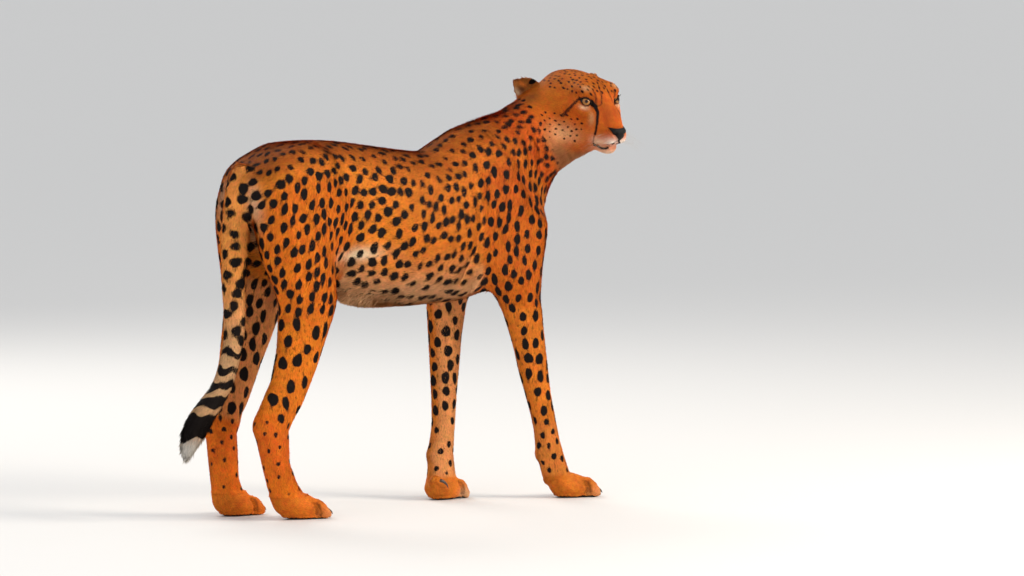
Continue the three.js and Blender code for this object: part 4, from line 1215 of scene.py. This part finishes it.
def coatPaint(name, onTufts):
    paint, tree, shader = makePaint(name, coatPlan["roughness"])
    shader.inputs["Specular IOR Level"].default_value = coatPlan["specular"]
    ground = addNode(tree, "Attribute", attribute_name="ground").outputs["Color"]
    mark = addNode(tree, "Attribute", attribute_name="mark").outputs["Fac"]
    fine, blotch = addNoise(tree, 1100), addNoise(tree, 38)
    # colour that drifts over the body and from hair to hair
    value = ranged(tree, blotch, 0.25, 0.75, 0.84, 1.14)
    grain = ranged(tree, fine, 0.25, 0.75, 0.84, 1.14)
    value = addNode(tree, "Math", {0: value, 1: grain}, operation="MULTIPLY").outputs[0]
    if onTufts:
        tone = addNode(tree, "Attribute", attribute_name="tone").outputs["Fac"]
        value = addNode(tree, "Math", {0: value, 1: tone}, operation="MULTIPLY").outputs[0]
    hue = ranged(tree, addNoise(tree, 90), 0.3, 0.7, 0.494, 0.506)
    lit = addNode(tree, "HueSaturation", {"Hue": hue, "Value": value, "Color": ground}).outputs["Color"]
    wobble = ranged(tree, addNoise(tree, 520), 0.2, 0.8, -0.7, 0.7)
    edge = addNode(tree, "Math", {0: mark, 1: wobble}, operation="ADD").outputs[0]
    share = ranged(tree, edge, -0.5, 0.9, 0.0, 1.0)
    mixed = addMix(tree, share, lit, (*coatPlan["dark"], 1))
    tree.links.new(mixed, shader.inputs["Base Color"])
    rough = ranged(tree, fine, 0.2, 0.8, 0.55, 0.72)
    tree.links.new(rough, shader.inputs["Roughness"])
    addBump(tree, shader, addNoise(tree, 1500, 3), 0.5 if onTufts else 0.8, 0.0003 if onTufts else 0.0006)
    return paint


def setFloats(mesh, name, values):
    made = mesh.attributes.new(name, "FLOAT", "POINT")
    made.data.foreach_set("value", np.ascontiguousarray(values, np.float32))


def setColours(mesh, name, values):
    made = mesh.color_attributes.new(name=name, type="FLOAT_COLOR", domain="POINT")
    full = np.ones((len(values), 4), np.float32)
    full[:, :3] = values
    made.data.foreach_set("color", full.ravel())


leather = leatherAt(toHead(skinPlaces))
setColours(skin.data, "ground", groundAt(skinPlaces, skinNormals, shares))
skinMark = markAt(skinPlaces, skinNormals, shares)
setFloats(skin.data, "mark", np.maximum(skinMark, sole * 2))
skin.data.materials.append(coatPaint("skin paint", False))
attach(skin, "root")
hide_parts(*[name for name in fleshNodes if not name.startswith(("eye", "nose"))])
print("skin painted")


# the coat: flat tufts over the skin, each of two faces. A root's depth, where along it a tuft is widest,
# the lean of its normals and how much ways and normals stray, then the share grown when quick and how
# much wider those are
tuftPlan = {
    "sink": 0.3, "middle": 0.45, "lean": 0.30, "ruffle": 0.10, "quickShare": 0.3, "quickWidth": 1.7,
    # the least and the spread of a chance share in lift, length and width
    "lifts": (0.55, 0.9), "lengths": (0.7, 0.55), "widths": (0.75, 0.5),
    # brightness at root, sides and tip, and the half width of a tuft's patch on the unwrap
    "tones": (0.72, 0.98, 0.98, 1.14), "patch": 0.0015,
}
# where hair is longer and stands out more: frame, middle, radii, times longer, degrees more
growths = [
    # mane, belly fringe, breast and the back of the thighs
    ("body", (510, 0, 785), (120, 18, 36), 0.55, 14),
    ("body", (190, 0, 425), (115, 45, 28), 1.0, 28),
    ("body", (600, 0, 560), (40, 40, 120), 0.35, 10),
    ("body", (-105, 0, 560), (30, 60, 60), 0.25, 6),
    # throat, whisker pads and the ears' edge
    ("head", (10, 0, -108), (50, 50, 22), 0.40, 8),
    ("head", (64, 22, -76), (26, 18, 12), -0.5, -3),
    ("head", (-125, 85, -15), (20, 22, 20), 0.5, 14),
]


# where no hair grows: soles, nose leather, the lids' rims and the last two of the face's lines
def bareAt():
    head = toHead(skinPlaces)
    bare = np.maximum(sole, ramp(leather, 0.3, 0.6))
    for side in (1, -1):
        gap, _, _ = slitDistance(head, side)
        bare = np.maximum(bare, ramp(-gap, -2.6, -1.4))
    for dots, _, _ in faceDots[-4:]:
        near = distanceTo(head, dots, 6)
        bare = np.maximum(bare, ramp(-near, -2.2, -1.4))
    return bare


# how the skin bends along each tuft, from the normals at its triangle's corners
def bowAt(owner, lies):
    corners, bends = skinPlaces[skinTriangles[owner]], skinNormals[skinTriangles[owner]]
    one, two = corners[:, 1] - corners[:, 0], corners[:, 2] - corners[:, 0]
    a, b, c = (one * one).sum(1), (one * two).sum(1), (two * two).sum(1)
    d, e = (one * lies).sum(1), (two * lies).sum(1)
    flat = np.maximum(a * c - b * b, 1e-16)
    bend = ((c * d - b * e) / flat)[:, None] * (bends[:, 1] - bends[:, 0])
    bend += ((a * e - b * d) / flat)[:, None] * (bends[:, 2] - bends[:, 0])
    return np.clip((bend * lies).sum(1), -25, 160)


def growTufts():
    share = 1.0
    owner, weights = scatter(ofArea(shares, "per") * (1 - bareAt()) * share)
    places, normals = blended(skinPlaces, owner, weights), unit(blended(skinNormals, owner, weights))
    mine, lies = blended(shares, owner, weights), unit(blended(skinLies, owner, weights))
    bow = bowAt(owner, lies)
    body, head = toBody(places), toHead(places)
    longer, lift = np.ones(len(owner)), ofArea(mine, "lift")
    for where, middle, radii, more, degrees in growths:
        near = nearness(folded(body if where == "body" else head), middle, radii)
        longer += more * near
        lift += degrees * near
    end = ramp(-tailPlace(body), -130, -20) * areaOf(mine, "tail")
    longer += 0.9 * end
    lift += 9 * end
    lift = np.radians(lift * varied(tuftPlan["lifts"], len(owner)))
    hair = ofArea(mine, "hair") * longer * varied(tuftPlan["lengths"], len(owner)) * mm
    hair = np.minimum(hair, 0.75 / np.maximum(bow, 1))
    width = ofArea(mine, "width") * varied(tuftPlan["widths"], len(owner)) * mm
    ruffle = tuftPlan["ruffle"]
    ways = unit(lies + rng.normal(0, ruffle, len(owner))[:, None] * np.cross(normals, lies))
    sides = np.cross(normals, ways)
    tall = np.minimum(hair * np.sin(lift), ofArea(mine, "depth") * longer ** 2 * 1.25 * mm)
    middle = tuftPlan["middle"]
    roots = places - normals * tuftPlan["sink"] * mm
    spine = places + ways * (hair * middle)[:, None]
    spine += normals * (0.62 * tall - 0.5 * bow * (hair * middle) ** 2 - 0.16 * width)[:, None]
    tips = places + ways * (hair * np.cos(lift))[:, None]
    tips += normals * (tall - 0.5 * bow * hair ** 2)[:, None]
    lefts, rights = spine + sides * width[:, None] / 2, spine - sides * width[:, None] / 2
    for points in (lefts, rights, tips):
        points[:, 2] = np.maximum(points[:, 2], 0.3 * mm)
    turn = normals + ways * (bow * hair * 0.7)[:, None]
    tilt = rng.normal(0, ruffle, (len(owner), 1)) * sides + rng.normal(0, ruffle, (len(owner), 1)) * ways
    lean = tuftPlan["lean"]
    facings = [unit(normals + tilt), unit(turn + tilt + lean * sides), unit(turn + tilt - lean * sides),
               unit(turn + tilt)]
    return {
        "owner": owner, "weights": weights, "shares": mine, "body": body, "head": head,
        "points": np.stack([roots, lefts, rights, tips], axis=1), "facings": np.stack(facings, axis=1),
    }


# the piece of coat that each area belongs to; the barrel's hind part is the rump
pieceOfArea = {
    "back": "barrel", "flank": "barrel", "ribs": "barrel", "belly": "barrel", "chest": "barrel",
    "neck": "neck", "crown": "head", "face": "head", "throat": "head", "ear": "head", "tail": "tail",
    "thigh": "hind_leg", "shank": "hind_leg", "hock": "hind_leg", "paw_hind": "hind_leg",
    "shoulder": "foreleg", "forearm": "foreleg", "wrist": "foreleg", "paw_fore": "foreleg",
}


def regionOf(tufts):
    main = tufts["shares"].argmax(1)
    region = np.array([pieceOfArea[name] for name in areaNames])[main]
    region[(region == "barrel") & (tufts["body"][:, 0] < rumpEnd)] = "rump"
    right = np.where(region == "head", tufts["head"][:, 1], tufts["body"][:, 1]) < 0
    split = ~np.isin(region, ("neck", "tail"))
    return np.where(split, np.char.add(region, np.where(right, "_right", "_left")), region)


def unwrapOf(faces):
    used, index = np.unique(skinTriangles[faces], return_inverse=True)
    mesh = bpy.data.meshes.new("patch")
    mesh.from_pydata(skinPlaces[used].tolist(), [], index.reshape(-1, 3).tolist())
    patch = newPiece("patch", mesh)
    bpy.context.view_layer.objects.active = patch
    patch.select_set(True)
    bpy.ops.object.mode_set(mode="EDIT")
    bpy.ops.mesh.select_all(action="SELECT")
    bpy.ops.uv.smart_project(angle_limit=1.15, island_margin=0.004, scale_to_bounds=True)
    bpy.ops.object.mode_set(mode="OBJECT")
    spread = np.empty(len(mesh.loops) * 2, np.float32)
    mesh.uv_layers[0].data.foreach_get("uv", spread)
    bpy.data.objects.remove(patch)
    bpy.data.meshes.remove(mesh)
    return spread.reshape(-1, 3, 2)


def tuftPiece(name, tufts, picked, paint):
    count = len(picked)
    points, facings = tufts["points"][picked], tufts["facings"][picked]
    mine = tufts["shares"][picked]
    mesh = bpy.data.meshes.new(name)
    mesh.vertices.add(count * 4)
    mesh.vertices.foreach_set("co", points.astype(np.float32).ravel())
    corners = (np.arange(count)[:, None] * 4 + (0, 2, 3, 0, 3, 1)).ravel().astype(np.int32)
    mesh.loops.add(count * 6)
    mesh.loops.foreach_set("vertex_index", corners)
    mesh.polygons.add(count * 2)
    mesh.polygons.foreach_set("loop_start", np.arange(count * 2, dtype=np.int32) * 3)
    mesh.polygons.foreach_set("use_smooth", np.ones(count * 2, bool))
    mesh.update(calc_edges=True)
    mesh.normals_split_custom_set_from_vertices(facings.reshape(-1, 3).tolist())
    ground = groundAt(points[:, 0], facings[:, 0], mine)
    setColours(mesh, "ground", np.repeat(ground, 4, axis=0))
    mark = np.stack([markAt(points[:, k], facings[:, 0], mine) for k in range(4)], axis=1)
    setFloats(mesh, "mark", mark.ravel())
    tone = rng.normal(1, 0.09, (count, 1)) * np.array(tuftPlan["tones"])
    setFloats(mesh, "tone", tone.ravel())
    # each tuft is one small patch at its root on an unwrap of the skin beneath
    half = tuftPlan["patch"]
    faces, where = np.unique(tufts["owner"][picked], return_inverse=True)
    root = (unwrapOf(faces)[where] * tufts["weights"][picked][:, :, None]).sum(1)
    patch = np.array([(0, -half), (-half, 0), (half, 0), (0, half)])
    spread = (root[:, None] + patch)[:, (0, 2, 3, 0, 3, 1)]
    mesh.uv_layers.new(name="OFBake").data.foreach_set("uv", spread.astype(np.float32).ravel())
    mesh.materials.append(paint)
    piece = newPiece(name, mesh)
    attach(piece, "root")
    print(name, count * 2, "triangles")


tufts = growTufts()
regions = regionOf(tufts)
tuftPaint = coatPaint("tuft paint", True)
for region in np.unique(regions):
    tuftPiece("coat_" + region, tufts, np.flatnonzero(regions == region), tuftPaint)
print("coat grown,", len(regions) * 2, "triangles")


# the way each eye's iris faces, in the head's frame, then the iris's outer edge and the cornea's rise
gazes = {"right": (0.785, -0.527, 0.33), "left": (0.88, 0.20, 0.32)}
irisPlan = {"edge": 9.9, "bulge": 1.0}


def eyePaint():
    paint, tree, shader = makePaint("eye paint", 0.15, Coat_Weight=0.28, Coat_Roughness=0.02)
    shader.inputs["Specular IOR Level"].default_value = 0.2
    ring = addNode(tree, "Attribute", attribute_name="ring").outputs["Fac"]
    spokes = addNode(tree, "Attribute", attribute_name="spokes").outputs["Vector"]
    streak = addNode(tree, "TexNoise", {"Vector": spokes, "Scale": 5.0, "Detail": 4.0}).outputs["Fac"]
    shift = ranged(tree, streak, 0.3, 0.7, -0.02, 0.02)
    place = addNode(tree, "Math", {0: ring, 1: shift}, operation="ADD").outputs[0]
    ramped = addNode(tree, "ValToRGB", {"Fac": place})
    stops = [
        (0.0, (0.003, 0.002, 0.002)), (0.20, (0.003, 0.002, 0.002)), (0.24, (0.14, 0.045, 0.008)),
        (0.34, (0.26, 0.10, 0.018)), (0.50, (0.36, 0.16, 0.032)), (0.62, (0.20, 0.075, 0.016)),
        (0.70, (0.03, 0.014, 0.008)), (0.78, (0.008, 0.005, 0.004)),
    ]
    band = ramped.color_ramp
    band.elements[0].position, band.elements[0].color = stops[0][0], (*stops[0][1], 1)
    band.elements[1].position, band.elements[1].color = stops[-1][0], (*stops[-1][1], 1)
    for position, colour in stops[1:-1]:
        band.elements.new(position).color = (*colour, 1)
    value = ranged(tree, streak, 0.3, 0.7, 0.75, 1.25)
    toned = addNode(tree, "HueSaturation", {"Color": ramped.outputs["Color"], "Value": value})
    tree.links.new(toned.outputs["Color"], shader.inputs["Base Color"])
    addBump(tree, shader, streak, 0.08, 0.0002)
    return paint


def makeEye(name, side, paint):
    gaze = Vector(gazes[name]).normalized()
    made = bmesh.new()
    bmesh.ops.create_uvsphere(made, u_segments=56, v_segments=56, radius=eyePlan["radius"])
    turn = Vector((0, 0, 1)).rotation_difference(gaze)
    rings, spokes = [], []
    for vert in made.verts:
        angle = vert.co.angle(Vector((0, 0, 1)))
        ring = angle * eyePlan["radius"]
        around = math.atan2(vert.co.y, vert.co.x)
        rings.append(ring / eyePlan["radius"])
        spokes.append((math.cos(around) * 1.6, math.sin(around) * 1.6, ring * 0.04 + side))
        bulge = irisPlan["bulge"] * max(1 - (ring / irisPlan["edge"]) ** 2, 0)
        swollen = vert.co * (1 + bulge / eyePlan["radius"])
        vert.co = headFrame @ (turn @ swollen + Vector(eyeBall(side)))
    for face in made.faces:
        face.smooth = True
    mesh = meshFrom(made, "eye_" + name + "_ball")
    setFloats(mesh, "ring", np.array(rings))
    spoke = mesh.attributes.new("spokes", "FLOAT_VECTOR", "POINT")
    spoke.data.foreach_set("vector", np.array(spokes, np.float32).ravel())
    mesh.materials.append(paint)
    eye = newPiece("eyeball_" + name, mesh)
    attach(eye, "root")
    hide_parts("eye_" + name)


irisPaint = eyePaint()
makeEye("left", 1, irisPaint)
makeEye("right", -1, irisPaint)
print("eyes made")


# the nose leather: the skin's own faces there, raised a little
def makeLeather():
    made = bmesh.new()
    made.from_mesh(skin.data)
    made.verts.ensure_lookup_table()
    out = []
    for vert in made.verts:
        share = leather[vert.index]
        if share < leatherPlan["edge"]:
            out.append(vert)
        else:
            height = leatherPlan["rise"] * ramp(share, leatherPlan["edge"], 0.95) - leatherPlan["sink"]
            vert.co += Vector(skinNormals[vert.index]) * height * mm
    bmesh.ops.delete(made, geom=out, context="VERTS")
    for _ in range(2):
        bmesh.ops.smooth_vert(made, verts=[v for v in made.verts if not v.is_boundary], factor=0.5)
    mesh = meshFrom(made, "nose")
    for name in ("mark", "ground", "custom_normal"):
        if name in mesh.attributes:
            mesh.attributes.remove(mesh.attributes[name])
    paint, tree, shader = makePaint("nose paint", 0.42)
    shader.inputs["Specular IOR Level"].default_value = 0.12
    colour = addMix(tree, addNoise(tree, 160), (0.002, 0.002, 0.002, 1), (0.008, 0.006, 0.006, 1))
    tree.links.new(colour, shader.inputs["Base Color"])
    where = addNode(tree, "TexCoord").outputs["Object"]
    pebble = addNode(tree, "TexVoronoi", {"Vector": where, "Scale": 1100.0}).outputs["Distance"]
    tree.links.new(ranged(tree, pebble, 0, 0.7, 0.34, 0.55), shader.inputs["Roughness"])
    addBump(tree, shader, pebble, 0.6, 0.0004)
    mesh.materials.clear()
    mesh.materials.append(paint)
    nose = newPiece("nose_leather", mesh)
    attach(nose, "root")
    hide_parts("nose")


makeLeather()
print("nose made")


# claws, from where each toe ends: how far past its tip, the height and the half width
clawPlan = {"sides": 10, "steps": 8, "line": [(-6, 18, 3.6), (2, 17, 3.2), (9, 13, 2.1), (12.6, 7.5, 0.35)]}
# the dewclaw on a forefoot's inner side: the place along and across, the height and the half width
dewclaw = [(-43, 21, 43, 3.4), (-37, 26.5, 39.5, 3.2), (-31, 30, 33.5, 2.2), (-26.5, 31, 25, 0.35)]


def clawRoutes(leg):
    routes = [[(toeTip(leg, across) + ahead, across, z, half) for ahead, z, half in clawPlan["line"]]
              for across in toes["across"]]
    if leg.startswith("fore"):
        inner = -1 if leg.endswith("left") else 1
        routes.append([(x, inner * y, z, half) for x, y, z, half in dewclaw])
    return routes


def makeClaws(leg, paint):
    made = bmesh.new()
    place = footFrame(leg)
    for route in clawRoutes(leg):
        line = np.array(route)
        stops = np.linspace(0, len(line) - 1, clawPlan["steps"])
        points = np.stack([np.interp(stops, range(len(line)), line[:, k]) for k in range(4)], axis=1)
        rings = []
        for i, point in enumerate(points):
            ahead = Vector(points[min(i + 1, len(points) - 1)][:3] - points[max(i - 1, 0)][:3]).normalized()
            flat = Vector((0, 1, 0)).cross(ahead).normalized()
            wide = ahead.cross(flat)
            ring = []
            for k in range(clawPlan["sides"]):
                turn = 2 * math.pi * k / clawPlan["sides"]
                off = flat * math.cos(turn) * point[3] + wide * math.sin(turn) * point[3] * 0.62
                ring.append(made.verts.new(place @ (Vector(point[:3]) + off)))
            rings.append(ring[::-1])
        joinRings(made, rings)
    bmesh.ops.recalc_face_normals(made, faces=made.faces)
    for face in made.faces:
        face.smooth = len(face.verts) == 4
    mesh = meshFrom(made, "claws_" + leg)
    mesh.materials.append(paint)
    claws = newPiece("claws_" + leg, mesh)
    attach(claws, "root")
    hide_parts(*[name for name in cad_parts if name.startswith("claw_" + leg)])


def clawPaint():
    paint, tree, shader = makePaint("claw paint", 0.38)
    streak = addNoise(tree, 420, 3)
    colour = addMix(tree, streak, (0.015, 0.010, 0.008, 1), (0.06, 0.042, 0.030, 1))
    tree.links.new(colour, shader.inputs["Base Color"])
    tree.links.new(ranged(tree, streak, 0.2, 0.8, 0.30, 0.48), shader.inputs["Roughness"])
    addBump(tree, shader, streak, 0.3, 0.0003)
    return paint


horn = clawPaint()
for leg in footPlaces:
    makeClaws(leg, horn)
print("claws made")


# whiskers and lashes: thin three-sided spikes that sag
def hairPiece(name, roots, tips, sags, radius, paint):
    made = bmesh.new()
    steps = 6
    for root, tip, sag in zip(roots, tips, sags):
        rings = []
        along = Vector(tip - root).normalized()
        flat = along.orthogonal().normalized()
        wide = along.cross(flat)
        for step in range(steps + 1):
            share = step / steps
            middle = Vector(root + (tip - root) * share) + Vector(sag) * share ** 2
            girth = radius * mm * (1 - 0.85 * share)
            rings.append([made.verts.new(middle + (flat * math.cos(t) + wide * math.sin(t)) * girth)
                          for t in (0, 2 * math.pi / 3, 4 * math.pi / 3)])
        joinRings(made, rings)
    bmesh.ops.recalc_face_normals(made, faces=made.faces)
    for face in made.faces:
        face.smooth = True
    mesh = meshFrom(made, name)
    mesh.materials.append(paint)
    piece = newPiece(name, mesh)
    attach(piece, "root")


def hairPaint(name, first, second):
    paint, tree, shader = makePaint(name, 0.45)
    shade = addNoise(tree, 200)
    tree.links.new(addMix(tree, shade, (*first, 1), (*second, 1)), shader.inputs["Base Color"])
    tree.links.new(ranged(tree, shade, 0.2, 0.8, 0.38, 0.55), shader.inputs["Roughness"])
    addBump(tree, shader, shade, 0.1, 0.0002)
    return paint


def makeWhiskers():
    roots, tips, sags = [], [], []
    for side in (1, -1):
        for root in dotsOnSkin(fromHead(onSide(whiskerDots, side)), skinTree):
            length = (34 + 30 * rng.random()) * mm
            way = np.array([-0.05 + 0.25 * rng.random(), side * 0.95, -0.1 - 0.3 * rng.random()])
            way = unit(turned(way[None])[0])
            roots.append(root)
            tips.append(root + way * length)
            sags.append((0, 0, -6 * mm))
    paint = hairPaint("whisker paint", (0.42, 0.34, 0.26), (0.62, 0.54, 0.44))
    hairPiece("whiskers", roots, tips, sags, 0.13, paint)


def makeLashes():
    roots, tips, sags = [], [], []
    for side in (1, -1):
        look, run, rise = eyeAxes(side)
        for place in np.linspace(-0.9, 0.9, 22):
            across = place * eyePlan["half"] / eyePlan["radius"]
            up = lidArch(place) * eyePlan["upper"] / eyePlan["radius"] + 0.08
            ray = unit(look + run * math.tan(across) + rise * math.tan(up))
            root = eyeBall(side) + ray * (eyePlan["radius"] + 1.7)
            way = unit(look * 0.7 + rise * 0.75 + run * place * 0.5 + rng.normal(0, 0.08, 3))
            roots.append(fromHead(root))
            tips.append(fromHead(root + way * (5 + 3 * rng.random())))
            sags.append((0, 0, -1 * mm))
    paint = hairPaint("lash paint", (0.012, 0.008, 0.006), (0.05, 0.03, 0.02))
    hairPiece("lashes", roots, tips, sags, 0.16, paint)


makeWhiskers()
makeLashes()
print("whiskers made")
